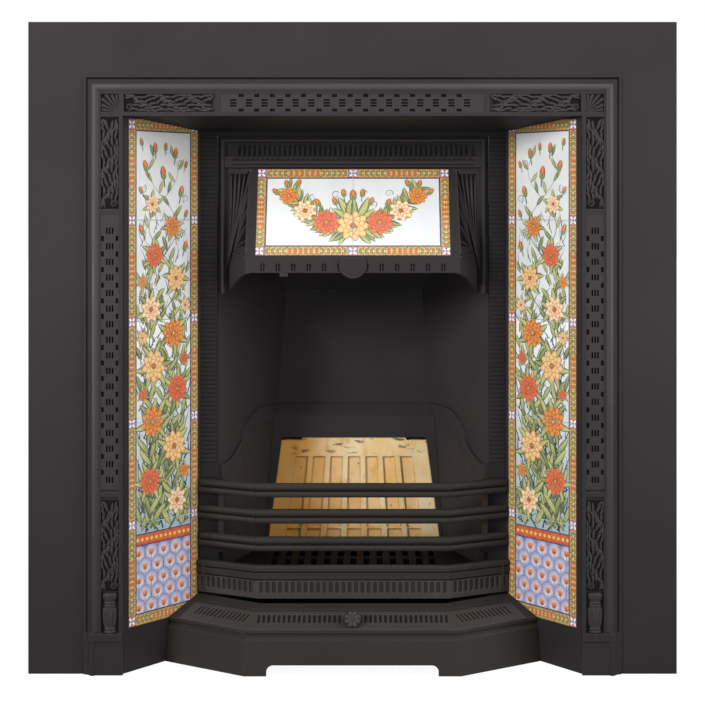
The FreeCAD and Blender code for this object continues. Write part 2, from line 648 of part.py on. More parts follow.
def tile_backplate():
    """Sheet that closes the right tile frame's back."""
    plate = box(SPLAY_FRONT_MARGIN, SPLAY_FRONT_MARGIN + TILE_SIZE, TILE_BACK_PLANE - BACKPLATE_THICKNESS,
                TILE_BACK_PLANE, APRON_HEIGHT - BACKPLATE_OVERLAP, TILE_TOP + BACKPLATE_OVERLAP)
    holes = [cylinder(SCREW_RADIUS + BOLT_CLEARANCE, BACKPLATE_THICKNESS + 2,
                      (u, TILE_BACK_PLANE - BACKPLATE_THICKNESS - 1, z), (0, 1, 0))
             for u, z in backplate_screw_places()]
    return in_splay(plate.cut(holes))


def backplate_screws():
    """Screws of the right tile back plate."""
    base = TILE_BACK_PLANE - BACKPLATE_THICKNESS
    length = BACKPLATE_THICKNESS + TILE_THICKNESS * 0.7
    return Part.makeCompound([in_splay(screw((u, base, z), (0, 1, 0), length))
                              for u, z in backplate_screw_places()])


# ------------------------------------------------------------------- soffit
def splay_plane_x(depth, setback=0.0):
    """Right splay's face in plan, moved towards the room by setback."""
    return HALF_OPENING - (depth * SPLAY_COS + setback) / SPLAY_SIN


def header_soffit():
    """Sloping plate between the frieze and the arch plate."""
    front, back = PLATE_THICKNESS, ARCH_FACE
    low_front, low_back = OPENING_HEIGHT, OPENING_HEIGHT - SOFFIT_DROP
    profile = [(front, low_front), (back, low_back), (back, low_back + SOFFIT_THICKNESS),
               (front + SOFFIT_FLANGE_THICKNESS, low_front + SOFFIT_THICKNESS),
               (front + SOFFIT_FLANGE_THICKNESS, low_front + SOFFIT_FLANGE_HEIGHT),
               (front, low_front + SOFFIT_FLANGE_HEIGHT)]
    plate = side_prism(profile, -HALF_OPENING, HALF_OPENING)
    gap = TILE_CLEARANCE
    plan = [(splay_plane_x(front, gap), front), (splay_plane_x(back, gap), back),
            (-splay_plane_x(back, gap), back), (-splay_plane_x(front, gap), front)]
    return plate.common(plan_prism(plan, low_back - 1, low_front + SOFFIT_FLANGE_HEIGHT + 1))


# --------------------------------------------------------------- arch plate
def arch_plate():
    """Set-back plate round the fire opening, with jambs and outer flanges."""
    outer, inner = ARCH_LEG_OUTER, HALF_FIRE
    face = [(-inner, 0), (-inner, FIRE_OPENING_HEIGHT), (inner, FIRE_OPENING_HEIGHT), (inner, 0),
            (outer, 0), (outer, ARCH_HEIGHT), (-outer, ARCH_HEIGHT), (-outer, 0)]
    pieces = [front_prism(face, ARCH_FACE, ARCH_BACK)]
    corner = rail_back_corner()[0]
    flange_back = ARCH_FLANGE_FACE + ARCH_FLANGE_THICKNESS
    web = outer - JAMB_WALL
    for side in (-1, 1):
        x0, x1 = sorted((side * inner, side * (inner + JAMB_WALL)))
        pieces.append(box(x0, x1, ARCH_BACK - 1, JAMB_END, 0, FIRE_OPENING_HEIGHT))
        x0, x1 = sorted((side * LOWER_JAMB, side * (inner + 1)))
        pieces.append(box(x0, x1, ARCH_FACE, ARCH_BACK, 0, ARCH_BLOCK_TOP))
        x0, x1 = sorted((side * LOWER_JAMB, side * (outer - ARCH_LOWER_INSET)))
        pieces.append(box(x0, x1, ARCH_FACE - ARCH_BLOCK_RISE, ARCH_BACK, ARCH_BLOCK_BOTTOM, ARCH_BLOCK_TOP))
        x0, x1 = sorted((side * web, side * outer))
        pieces.append(box(x0, x1, ARCH_BACK - 1, flange_back, 0, ARCH_HEIGHT))
        x0, x1 = sorted((side * web, side * (corner + 22)))
        pieces.append(box(x0, x1, ARCH_FLANGE_FACE, flange_back, 0, ARCH_HEIGHT))
    plate = fuse(pieces + bar_brackets())
    holes = bar_slots()
    for side in (-1, 1):
        for x, z in arch_bolt_places():
            holes.append(bolt_hole((side * x, ARCH_FLANGE_FACE, z), (0, 1, 0), ARCH_FLANGE_THICKNESS))
    for x in hood_bolt_places():
        holes.append(cylinder(BOLT_RADIUS, ARCH_THICKNESS - 3, (x, ARCH_FACE + 3, hood_bolt_height()), (0, 1, 0)))
    return plate.cut(holes)


# --------------------------------------------------------------- hood frame
def hood_bolt_places():
    """Bolts that hang the hood frame on the arch plate's header."""
    return (-HALF_FIRE * 0.7, 0.0, HALF_FIRE * 0.7)


def hood_bolt_height():
    """Height of the bolts above the fire opening."""
    return FIRE_OPENING_HEIGHT + (ARCH_HEIGHT - FIRE_OPENING_HEIGHT) * 0.5


def canopy_outline(grow, bottom):
    """Section of the canopy in the hood frame: (x, z), grown by a clearance."""
    slope = (CANOPY_BACK_HALF - CANOPY_TOP_HALF) / (CANOPY_TOP - CANOPY_LIP_BOTTOM)
    low_half = CANOPY_BACK_HALF + grow + slope * (CANOPY_LIP_BOTTOM - bottom)
    top_half = CANOPY_TOP_HALF + grow
    top = CANOPY_TOP + grow
    return [(-low_half, bottom), (-top_half, top), (top_half, top), (low_half, bottom)]


def hood_frame():
    """Moulded frame in the arch, open for the canopy."""
    half = HOOD_HALF
    plate = box(-half, half, HOOD_FIELD, HOOD_BACK, HOOD_BOTTOM_HEIGHT, FIRE_OPENING_HEIGHT)
    header = box(-half, half, ARCH_BACK, HOOD_BACK, FIRE_OPENING_HEIGHT - HOOD_SIDE_CLEARANCE * 4,
                 ARCH_HEIGHT)
    header = header.cut(box(-half, half, ARCH_BACK - 1, HOOD_FIELD, 0, FIRE_OPENING_HEIGHT))
    outer = HOOD_MOULD_OUTER
    inner = outer - HOOD_MOULD_WIDTH
    mould_path = [(-outer, 0, HOOD_BOTTOM_HEIGHT), (-outer, 0, HOOD_MOULD_TOP),
                  (outer, 0, HOOD_MOULD_TOP), (outer, 0, HOOD_BOTTOM_HEIGHT)]
    front = ARCH_FACE - 1
    round_depth = HOOD_MOULD_WIDTH / 2

    def at(inward, depth):
        return Vector(-outer + inward, depth, HOOD_BOTTOM_HEIGHT)

    profile = Part.Wire([
        Part.LineSegment(at(0, HOOD_FIELD + 1), at(0, front + round_depth)).toShape(),
        Part.Arc(at(0, front + round_depth), at(HOOD_MOULD_WIDTH / 2, front),
                 at(HOOD_MOULD_WIDTH, front + round_depth)).toShape(),
        Part.LineSegment(at(HOOD_MOULD_WIDTH, front + round_depth), at(HOOD_MOULD_WIDTH, HOOD_FIELD + 1)).toShape(),
        Part.LineSegment(at(HOOD_MOULD_WIDTH, HOOD_FIELD + 1), at(0, HOOD_FIELD + 1)).toShape()])
    mould = mitred_sweep(mould_path, profile)
    band = box(-HOOD_BAND_HALF, HOOD_BAND_HALF, HOOD_FIELD - HOOD_BAND_RISE, HOOD_FIELD + 1,
               HOOD_BAND_BOTTOM, HOOD_BAND_TOP)
    ledge = box(-inner, inner, HOOD_FIELD - HOOD_LEDGE_RISE, HOOD_FIELD, HOOD_LEDGE_BOTTOM, HOOD_LEDGE_TOP)
    opening = front_prism(canopy_outline(CANOPY_CLEARANCE, HOOD_BOTTOM_HEIGHT - 1), HOOD_FIELD, HOOD_BACK + 1)
    plate = fuse([plate, header, mould, band]).cut(opening)
    frame = fuse([plate, ledge])
    grip = HOOD_BACK - ARCH_BACK
    holes = [bolt_hole((x, ARCH_BACK, hood_bolt_height()), (0, 1, 0), grip) for x in hood_bolt_places()]
    return frame.cut(holes + [canopy_bolt_hole(x, z) for x, z in canopy_bolt_places()])


def canopy_bolt_places():
    """Bolts that hold the canopy's flange to the hood frame: (x, z)."""
    top = CANOPY_TOP + CANOPY_FLANGE_WIDTH + SCREW_HEAD_RADIUS
    return [(x, top) for x in (-CANOPY_TOP_HALF * 0.8, -CANOPY_TOP_HALF * 0.27,
                               CANOPY_TOP_HALF * 0.27, CANOPY_TOP_HALF * 0.8)]


def canopy_bolt_hole(x, z):
    """Tapped hole in the hood frame's back."""
    depth = HOOD_FIELD_THICKNESS * 0.7
    return cylinder(SCREW_RADIUS, depth, (x, HOOD_BACK - depth, z), (0, 1, 0))


# ------------------------------------------------------------------- canopy
def canopy_body(inset):
    """Closed form of the canopy, shrunk inwards by inset at the front and the sides."""
    front_inset = inset / math.cos(math.radians(CANOPY_TILT))
    back = HOOD_BACK + (1 if inset else 0)
    top = CANOPY_LIP_TOP + (back - CANOPY_FRONT_SETBACK - front_inset) / CANOPY_RUN
    bottom = CANOPY_LIP_BOTTOM - (1 if inset else 0)
    lip_front = CANOPY_FRONT_SETBACK + front_inset
    right = [(CANOPY_TOP_HALF - inset, back, top),
             (CANOPY_LIP_HALF - inset, lip_front, CANOPY_LIP_TOP),
             (CANOPY_LIP_HALF - inset, lip_front - CANOPY_LIP_BATTER, bottom),
             (CANOPY_BACK_HALF - inset, back, bottom)]
    left = [(-x, y, z) for x, y, z in right]
    faces = [(0, 4, 5, 1), (1, 5, 6, 2), (2, 6, 7, 3), (0, 3, 7, 4),
             (0, 1, 3), (1, 2, 3), (4, 7, 5), (5, 7, 6)]
    return polyhedron(right + left, faces)


def canopy_skirt():
    """Curved tail under the canopy's right side."""
    front = (CANOPY_LIP_HALF, CANOPY_FRONT_SETBACK - CANOPY_LIP_BATTER)
    back = (CANOPY_BACK_HALF, HOOD_BACK)
    length = math.hypot(back[0] - front[0], back[1] - front[1])
    high = 1.0
    start = Vector(0, 0, -CANOPY_SKIRT_FRONT_DROP * 0.2)
    middle = Vector(length * 0.45, 0, -CANOPY_SKIRT_FRONT_DROP * 2)
    end = Vector(length, 0, -CANOPY_SKIRT_BACK_DROP)
    curve = Part.Arc(start, middle, end)
    outline = Part.Wire([
        Part.LineSegment(Vector(0, 0, high), start).toShape(), curve.toShape(),
        Part.LineSegment(end, Vector(length, 0, high)).toShape(),
        Part.LineSegment(Vector(length, 0, high), Vector(0, 0, high)).toShape()])
    skirt = Part.Face(outline).extrude(Vector(0, CANOPY_WALL, 0))
    angle = math.degrees(math.atan2(back[1] - front[1], back[0] - front[0]))
    turn = FreeCAD.Rotation(Vector(0, 0, 1), angle)
    base = Vector(front[0], front[1], CANOPY_LIP_BOTTOM)
    return skirt.transformed(FreeCAD.Placement(base, turn).toMatrix())


def canopy_hood():
    """Tilted canopy with its tile window, lip, tab, skirts and flange."""
    shell = canopy_body(0).cut(canopy_body(CANOPY_WALL))
    skirt = canopy_skirt()
    tab_centre = CANOPY_LIP_BOTTOM - TAB_DROP + TAB_RADIUS
    tab_front = CANOPY_FRONT_SETBACK - CANOPY_LIP_BATTER - TAB_THICKNESS / 2
    tab = cylinder(TAB_RADIUS, TAB_THICKNESS + CANOPY_WALL, (0, tab_front, tab_centre), (0, 1, 0))
    tab = tab.common(box(-TAB_RADIUS, TAB_RADIUS, 0, HOOD_BACK, 0, CANOPY_LIP_TOP - 2))
    flange_outer = front_prism(canopy_outline(CANOPY_FLANGE_WIDTH + 2 * SCREW_HEAD_RADIUS, CANOPY_LIP_BOTTOM),
                               HOOD_BACK, CANOPY_FLANGE_BACK)
    flange_outer = flange_outer.common(firebox_side_envelope())
    flange_inner = front_prism(canopy_outline(-CANOPY_WALL, CANOPY_LIP_BOTTOM - 1), HOOD_BACK - 1,
                               CANOPY_FLANGE_BACK + 1)
    hood = fuse([shell, skirt, mirrored(skirt), tab, flange_outer.cut(flange_inner)])
    window_half = TILE_SIZE - HOOD_TILE_LIP
    low = HOOD_TILE_START
    high = low + TILE_SIZE
    depth = TILE_THICKNESS + CANOPY_WALL * 3
    window = on_canopy(box(-window_half, window_half, low + HOOD_TILE_LIP / 2, high - HOOD_TILE_LIP / 2, -depth, 1))
    pocket = on_canopy(box(-TILE_SIZE - TILE_CLEARANCE, TILE_SIZE + TILE_CLEARANCE, low, high,
                           -depth, -HOOD_TILE_LIP_THICKNESS))
    hood = hood.cut([window, pocket])
    holes = [cylinder(SCREW_RADIUS + BOLT_CLEARANCE, CANOPY_FLANGE_THICKNESS + 2,
                      (x, HOOD_BACK - 1, z), (0, 1, 0)) for x, z in canopy_bolt_places()]
    return hood.cut(holes)


def hood_tile(side):
    """Left (-1) or right (1) tile of the canopy."""
    x0, x1 = sorted((side * TILE_JOINT / 2, side * TILE_SIZE))
    low = HOOD_TILE_START + TILE_CLEARANCE / 2
    tile = box(x0, x1, low, low + TILE_SIZE - TILE_CLEARANCE,
               -HOOD_TILE_LIP_THICKNESS - TILE_THICKNESS, -HOOD_TILE_LIP_THICKNESS)
    return on_canopy(tile)


def hood_tile_retainers():
    """Two straps that hold the hood tiles from behind."""
    face = -HOOD_TILE_LIP_THICKNESS - TILE_THICKNESS
    half = TILE_SIZE - RETAINER_OVERHANG
    low = HOOD_TILE_START + TILE_SIZE * 0.2
    high = HOOD_TILE_START + TILE_SIZE * 0.7
    return Part.makeCompound([on_canopy(box(-half, half, s, s + RETAINER_WIDTH, face - RETAINER_THICKNESS, face))
                              for s in (low, high)])


def hood_back_plate():
    """Plate that closes the canopy's back above the throat, with the damper's shelf."""
    outline = canopy_outline(CANOPY_FLANGE_WIDTH + 2 * SCREW_HEAD_RADIUS - 1, DAMPER_SHELF_BOTTOM)
    plate = front_prism(outline, HOOD_BACK_FACE, HOOD_PLATE_BACK)
    wall_limit = side_wall_x(HOOD_PLATE_BACK + DAMPER_SHELF_DEPTH, FIREBOX_SIDE_TOP) - 3 * THROAT_SIDE_GAP
    shelf_half = min(wall_limit, DAMPER_HALF_WIDTH)
    shelf = box(-shelf_half, shelf_half, HOOD_PLATE_BACK - 1, HOOD_PLATE_BACK + DAMPER_SHELF_DEPTH,
                DAMPER_SHELF_BOTTOM, DAMPER_SHELF_BOTTOM + DAMPER_SHELF_THICKNESS)
    plate = fuse([plate, shelf]).common(firebox_side_envelope())
    holes = [cylinder(SCREW_RADIUS + BOLT_CLEARANCE, HOOD_BACK_THICKNESS + 2,
                      (x, HOOD_BACK_FACE - 1, z), (0, 1, 0)) for x, z in canopy_bolt_places()]
    return plate.cut(holes)


def canopy_bolts():
    """Screws that hold the back plate and the canopy to the hood frame."""
    grip = HOOD_BACK_THICKNESS + CANOPY_FLANGE_THICKNESS + HOOD_FIELD_THICKNESS * 0.7
    return Part.makeCompound([screw((x, HOOD_PLATE_BACK, z), (0, -1, 0), grip) for x, z in canopy_bolt_places()])


def hood_frame_bolts():
    """Screws that hold the hood frame to the arch plate's header."""
    grip = HOOD_BACK - ARCH_BACK + ARCH_THICKNESS - 3
    z = hood_bolt_height()
    pieces = []
    for x in hood_bolt_places():
        head = hexagon(BOLT_HEAD_FLATS, BOLT_HEAD_HEIGHT, (x, HOOD_BACK, z), (0, 1, 0))
        shank = cylinder(BOLT_RADIUS, grip, (x, HOOD_BACK - grip, z), (0, 1, 0))
        pieces.append(fuse([shank, head]))
    return Part.makeCompound(pieces)


# ------------------------------------------------------------------ firebox
def firebox_side_envelope(low=HOOD_BOTTOM_HEIGHT, end=FIREBOX_DEPTH):
    """Room between the firebox walls above a height and up to a depth, less a running gap."""
    gap = THROAT_SIDE_GAP

    def outline(z):
        front = side_wall_x(SIDE_START, z) - gap
        back = side_wall_x(end, z) - gap
        return [(-front, SIDE_START - JAMB_DEPTH), (-front, SIDE_START), (-back, end),
                (back, end), (front, SIDE_START), (front, SIDE_START - JAMB_DEPTH)]

    return plan_loft(outline(low), low, outline(ARCH_HEIGHT), ARCH_HEIGHT)


def firebox_side_wall():
    """Right wall of the firebox."""
    def outline(z):
        back = back_half_width(z)
        return [(HALF_FIRE, SIDE_START), (HALF_FIRE + FIREBOX_WALL, SIDE_START),
                (back + FIREBOX_WALL, FIREBOX_DEPTH + FIREBOX_WALL), (back, FIREBOX_DEPTH)]

    wall = plan_loft(outline(0), 0, outline(FIREBOX_SIDE_TOP), FIREBOX_SIDE_TOP)
    top_start = FIREBOX_DEPTH - (FIREBOX_SIDE_TOP - FIREBOX_BACK_TOP - 20) * THROAT_RUN / THROAT_RISE
    cap = side_prism([(top_start, FIREBOX_SIDE_TOP + 1), (top_start, FIREBOX_SIDE_TOP),
                      (FIREBOX_DEPTH, FIREBOX_BACK_TOP + 20),
                      (FIREBOX_DEPTH + FIREBOX_WALL + 1, FIREBOX_BACK_TOP + 20),
                      (FIREBOX_DEPTH + FIREBOX_WALL + 1, FIREBOX_SIDE_TOP + 1)],
                     0, HALF_FIRE + FIREBOX_WALL + 1)
    return wall.cut(cap)


def firebox_back_wall():
    """Tapering back wall of the firebox."""
    low, high = back_half_width(0), back_half_width(FIREBOX_BACK_TOP)
    thick = FIREBOX_WALL

    def outline(half):
        return [(-half, FIREBOX_DEPTH), (half, FIREBOX_DEPTH),
                (half + thick, FIREBOX_DEPTH + thick), (-half - thick, FIREBOX_DEPTH + thick)]

    return plan_loft(outline(low), 0, outline(high), FIREBOX_BACK_TOP)


def ogee_cap():
    """Everything above the shoulder line of the cheeks."""
    run = CHEEK_OGEE_END - CHEEK_OGEE_START
    rise = CHEEK_SHOULDER_HIGH - CHEEK_SHOULDER_LOW
    middle = ((CHEEK_OGEE_START + CHEEK_OGEE_END) / 2, (CHEEK_SHOULDER_LOW + CHEEK_SHOULDER_HIGH) / 2)
    radius = (run ** 2 + rise ** 2) / (4 * rise)
    sweep = math.asin(min(1.0, run / 2 / radius)) / 2

    def at(depth, height):
        return Vector(0, depth, height)

    low_mid = at(CHEEK_OGEE_START + radius * math.sin(sweep),
                 CHEEK_SHOULDER_LOW + radius * (1 - math.cos(sweep)))
    high_mid = at(CHEEK_OGEE_END - radius * math.sin(sweep),
                  CHEEK_SHOULDER_HIGH - radius * (1 - math.cos(sweep)))
    start = at(ARCH_FACE, CHEEK_SHOULDER_LOW)
    low = at(CHEEK_OGEE_START, CHEEK_SHOULDER_LOW)
    high = at(CHEEK_OGEE_END, CHEEK_SHOULDER_HIGH)
    end = at(FIREBOX_DEPTH + 1, CHEEK_SHOULDER_HIGH)
    ceiling = CHEEK_SHOULDER_HIGH + 50
    outline = Part.Wire([
        Part.LineSegment(start, low).toShape(),
        Part.Arc(low, low_mid, at(*middle)).toShape(),
        Part.Arc(at(*middle), high_mid, high).toShape(),
        Part.LineSegment(high, end).toShape(),
        Part.LineSegment(end, at(FIREBOX_DEPTH + 1, ceiling)).toShape(),
        Part.LineSegment(at(FIREBOX_DEPTH + 1, ceiling), at(ARCH_FACE, ceiling)).toShape(),
        Part.LineSegment(at(ARCH_FACE, ceiling), start).toShape()])
    return Part.Face(outline).extrude(Vector(HALF_FIRE + FIREBOX_WALL, 0, 0))


def liner_cheek():
    """Right liner cheek with its ogee shoulder and the grate's ledge."""
    top = CHEEK_SHOULDER_HIGH + 20

    def outline(z, grow=0.0):
        return [(cheek_x(SIDE_START, z) - grow, SIDE_START + CHEEK_GAP),
                (side_wall_x(SIDE_START, z) - CHEEK_GAP, SIDE_START + CHEEK_GAP),
                (side_wall_x(FIREBOX_DEPTH - CHEEK_GAP, z) - CHEEK_GAP, FIREBOX_DEPTH - CHEEK_GAP),
                (cheek_x(FIREBOX_DEPTH - CHEEK_GAP, z) - grow, FIREBOX_DEPTH - CHEEK_GAP)]

    cheek = plan_loft(outline(CHEEK_BOTTOM), CHEEK_BOTTOM, outline(top), top).cut(ogee_cap())
    ledge_bottom = GRATE_LEDGE_TOP - GRATE_LEDGE_THICKNESS
    ledge_front, ledge_back = SIDE_START + 10, LINER_FACE - 2
    ledge = plan_prism([(cheek_x(ledge_front, GRATE_TOP) - GRATE_LEDGE_WIDTH, ledge_front),
                        (cheek_x(ledge_front, GRATE_TOP) + 2, ledge_front),
                        (cheek_x(ledge_back, GRATE_TOP) + 2, ledge_back),
                        (cheek_x(ledge_back, GRATE_TOP) - GRATE_LEDGE_WIDTH, ledge_back)],
                       ledge_bottom, GRATE_LEDGE_TOP)
    foot = plan_loft(outline(0), 0, outline(CHEEK_BOTTOM), CHEEK_BOTTOM)
    foot = foot.cut(box(0, HALF_FIRE, SIDE_START + 40, FIREBOX_DEPTH - 60, -1, CHEEK_BOTTOM - 12))
    return fuse([cheek, ledge, foot])


def liner_half_width(z, depth):
    """Half width of the back liner at a height and depth."""
    return cheek_x(depth, z) - CHEEK_GAP


def brick_half_width(z, depth=LINER_FACE):
    """Half width of the fireclay brick at a height and depth."""
    share = (z - BRICK_BOTTOM) / (BRICK_TOP - BRICK_BOTTOM)
    margin = BRICK_FOOT_MARGIN + share * (BRICK_HEAD_MARGIN - BRICK_FOOT_MARGIN)
    back = FIREBOX_DEPTH - CHEEK_GAP
    draft = liner_half_width(BRICK_TOP, LINER_FACE) - liner_half_width(BRICK_TOP, back)
    return liner_half_width(z, LINER_FACE) - margin - draft * (depth - LINER_FACE) / (back - LINER_FACE)


def back_liner():
    """Frame round the brick, with the ledge above it."""
    back = FIREBOX_DEPTH - CHEEK_GAP

    def outline(z):
        front_half = liner_half_width(z, LINER_FACE)
        back_half = liner_half_width(z, back)
        return [(-front_half, LINER_FACE), (front_half, LINER_FACE), (back_half, back), (-back_half, back)]

    liner = plan_loft(outline(0), 0, outline(CHEEK_SHOULDER_HIGH), CHEEK_SHOULDER_HIGH)
    low, high = BRICK_BOTTOM - BRICK_GAP, BRICK_TOP + BRICK_GAP

    def frame(depth):
        low_half = brick_half_width(low, depth) + BRICK_GAP
        high_half = brick_half_width(high, depth) + BRICK_GAP
        return [(-low_half, low), (-high_half, high), (high_half, high), (low_half, low)]

    window = depth_loft(frame(LINER_FACE - 1), LINER_FACE - 1, frame(FIREBOX_DEPTH + 1), FIREBOX_DEPTH + 1)
    edge = side_prism([(LINER_FACE - 1, CHEEK_SHOULDER_HIGH + 1), (LINER_FACE - 1, CHEEK_SHOULDER_HIGH - LINER_CHAMFER),
                       (LINER_FACE + LINER_CHAMFER, CHEEK_SHOULDER_HIGH + 1)],
                      -HALF_FIRE, HALF_FIRE)
    return liner.cut([window, edge])


def fireback_brick():
    """Fireclay brick with two tiers of flutes."""
    low, high = BRICK_BOTTOM, BRICK_TOP
    notch = high - BRICK_NOTCH_DROP
    back = FIREBOX_DEPTH - CHEEK_GAP

    def outline(depth):
        foot, head = brick_half_width(low, depth), brick_half_width(notch, depth)
        raised = BRICK_NOTCH_HALF - BRICK_NOTCH_DROP
        return [(-foot, low), (-head, notch), (-BRICK_NOTCH_HALF, notch), (-raised, high),
                (raised, high), (BRICK_NOTCH_HALF, notch), (head, notch), (foot, low)]

    brick = depth_loft(outline(LINER_FACE), LINER_FACE, outline(back), back)
    flutes = []
    tier_top = high - BRICK_TIER_TOP
    for tier_bottom in (tier_top - BRICK_TIER_HEIGHT, low + BRICK_TIER_GAP):
        upper = tier_bottom + BRICK_TIER_HEIGHT
        if tier_bottom < tier_top - BRICK_TIER_HEIGHT:
            upper = tier_top - BRICK_TIER_HEIGHT - BRICK_TIER_GAP
        for index in range(BRICK_FLUTE_COUNT):
            flutes.append(brick_flute(index, tier_bottom, upper))
    return brick.cut(flutes)


def brick_flute(index, low, high):
    """One recess of the brick, following its taper."""
    corners = []
    for z in (low, high):
        span = 2 * (brick_half_width(z) - BRICK_MARGIN)
        pitch = span / BRICK_FLUTE_COUNT
        middle = -span / 2 + (index + 0.5) * pitch
        half = pitch * BRICK_FLUTE_FILL / 2
        corners.append((middle - half, middle + half, z))
    (a, b, z0), (c, d, z1) = corners
    return front_prism([(a, z0), (c, z1), (d, z1), (b, z0)], LINER_FACE - 1, LINER_FACE + BRICK_FLUTE_DEPTH)


def throat_plate():
    """Plate that leans forward from the back wall to the throat."""
    out = (THROAT_THICKNESS * THROAT_RISE / THROAT_SLANT, THROAT_THICKNESS * THROAT_RUN / THROAT_SLANT)
    profile = [(FIREBOX_DEPTH + FIREBOX_WALL - 1, FIREBOX_BACK_TOP), (FIREBOX_DEPTH, FIREBOX_BACK_TOP),
               (THROAT_DEPTH, THROAT_HEIGHT), (THROAT_DEPTH + out[0], THROAT_HEIGHT + out[1]),
               (FIREBOX_DEPTH + FIREBOX_WALL - 1, FIREBOX_BACK_TOP + out[1])]
    plate = side_prism(profile, -HALF_FIRE, HALF_FIRE)
    ears = []
    ear_front = DAMPER_AXIS_DEPTH - DAMPER_PIN_RADIUS - DAMPER_EAR_REACH
    ear_back = DAMPER_AXIS_DEPTH + DAMPER_PIN_RADIUS + DAMPER_EAR_REACH
    for side in (-1, 1):
        x0, x1 = sorted((side * DAMPER_EAR_OFFSET, side * (DAMPER_EAR_OFFSET + DAMPER_EAR_THICKNESS)))
        ears.append(box(x0, x1, ear_front, ear_back, THROAT_HEIGHT - 4,
                        DAMPER_AXIS_HEIGHT + DAMPER_PIN_RADIUS + DAMPER_EAR_REACH))
    plate = fuse([plate] + ears)
    pin_hole = cylinder(DAMPER_PIN_RADIUS, 2 * HALF_FIRE,
                        (-HALF_FIRE, DAMPER_AXIS_DEPTH, DAMPER_AXIS_HEIGHT), (1, 0, 0))
    room = firebox_side_envelope(FIREBOX_BACK_TOP - FIREBOX_WALL, FIREBOX_DEPTH + FIREBOX_WALL)
    return plate.cut(pin_hole).common(room)


def damper_flap():
    """Flap that closes the throat, with its knuckles and poker ring."""
    half = DAMPER_HALF_WIDTH
    front = HOOD_PLATE_BACK + DAMPER_FRONT_GAP
    low, high = DAMPER_UNDERSIDE, DAMPER_UNDERSIDE + DAMPER_THICKNESS
    plate = box(-half, half, front, DAMPER_AXIS_DEPTH, low, high)
    sleeve = cylinder(DAMPER_SLEEVE_RADIUS, 2 * half, (-half, DAMPER_AXIS_DEPTH, DAMPER_AXIS_HEIGHT), (1, 0, 0))
    flap = fuse([plate, sleeve])
    ear_room = []
    for side in (-1, 1):
        inner = DAMPER_EAR_OFFSET - DAMPER_GAP
        outer = max(DAMPER_EAR_OFFSET + DAMPER_EAR_THICKNESS + DAMPER_GAP, half + 1)
        x0, x1 = sorted((side * inner, side * outer))
        reach = DAMPER_SLEEVE_RADIUS + DAMPER_EAR_REACH
        ear_room.append(box(x0, x1, DAMPER_AXIS_DEPTH - reach, DAMPER_AXIS_DEPTH + reach,
                            low - reach, high + 2 * reach))
    bore = cylinder(DAMPER_PIN_RADIUS + DAMPER_PIN_CLEARANCE, 2 * half + 2,
                    (-half - 1, DAMPER_AXIS_DEPTH, DAMPER_AXIS_HEIGHT), (1, 0, 0))
    ring_depth = HOOD_PLATE_BACK + DAMPER_SHELF_DEPTH + DAMPER_RING_RADIUS + 2 * DAMPER_RING_WIRE
    ring = Part.makeTorus(DAMPER_RING_RADIUS, DAMPER_RING_WIRE, Vector(0, ring_depth, low - DAMPER_RING_RADIUS * 0.8),
                          Vector(1, 0, 0))
    return fuse([flap.cut(ear_room + [bore]), ring])


def damper_pins():
    """Pins that carry the flap in the throat plate's ears."""
    pins = []
    for side in (-1, 1):
        outer = side * (DAMPER_EAR_OFFSET + DAMPER_EAR_THICKNESS)
        base = (outer, DAMPER_AXIS_DEPTH, DAMPER_AXIS_HEIGHT)
        pins.append(cylinder(DAMPER_PIN_RADIUS, DAMPER_PIN_LENGTH, base, (-side, 0, 0)))
    return Part.makeCompound(pins)


# -------------------------------------------------------------------- grate
def grate_outline(inset):
    """Plan of the grate: right half from the front corner to the back."""
    front = BAR_SETBACK + BAR_DEPTH + GRATE_GAP * 2 + inset
    tangent = math.tan(math.radians(BAR_ANGLE))
    corner = BAR_CORNER - (BAR_DEPTH + inset) * math.tan(math.radians(BAR_ANGLE / 2))
    side_start = SIDE_START + GRATE_GAP
    lifted = GRATE_TOP + GRATE_LIFT
    side_x = min(LOWER_JAMB - BAR_BRACKET_WIDTH, cheek_x(side_start, lifted)) - GRATE_GAP - inset
    facet_y = front + (side_x - corner) * tangent
    back = LINER_FACE - GRATE_GAP - inset
    back_x = cheek_x(back, lifted) - GRATE_GAP - inset
    return [(corner, front), (side_x, facet_y), (side_x, side_start), (back_x, back)]


def bottom_grate():
    """Slotted grate that lies on the cheeks' ledges."""
    right = grate_outline(0)
    plan = right + [(-x, y) for x, y in reversed(right)]
    grate = plan_prism(plan, GRATE_LEDGE_TOP, GRATE_TOP)
    front = right[0][1] + GRATE_BORDER
    back = right[3][1] - GRATE_BORDER
    middle = (front + back) / 2
    slots = []
    count = int((right[3][0] - GRATE_BORDER) // GRATE_SLOT_PITCH)
    for index in range(-count, count + 1):
        x = index * GRATE_SLOT_PITCH
        for y0, y1 in ((front, middle - GRATE_RIB / 2), (middle + GRATE_RIB / 2, back)):
            slots.append(box(x - GRATE_SLOT_WIDTH / 2, x + GRATE_SLOT_WIDTH / 2, y0, y1,
                             GRATE_LEDGE_TOP - 1, GRATE_TOP + 1))
    return grate.cut(slots)


# --------------------------------------------------------------- front bars
def bar_profile(low):
    """Section of a bar: a set-back upper half over a proud lower half."""
    high = low + BAR_HEIGHT
    middle = low + BAR_HEIGHT * 0.48
    return [(BAR_STEP * 0.4, low), (0, low + 2.5), (0, middle - 1.5), (BAR_STEP * 0.6, middle),
            (BAR_STEP * 0.6, middle + 1.5), (BAR_STEP, high - 3), (BAR_STEP + 2.5, high),
            (BAR_DEPTH, high), (BAR_DEPTH, low)]


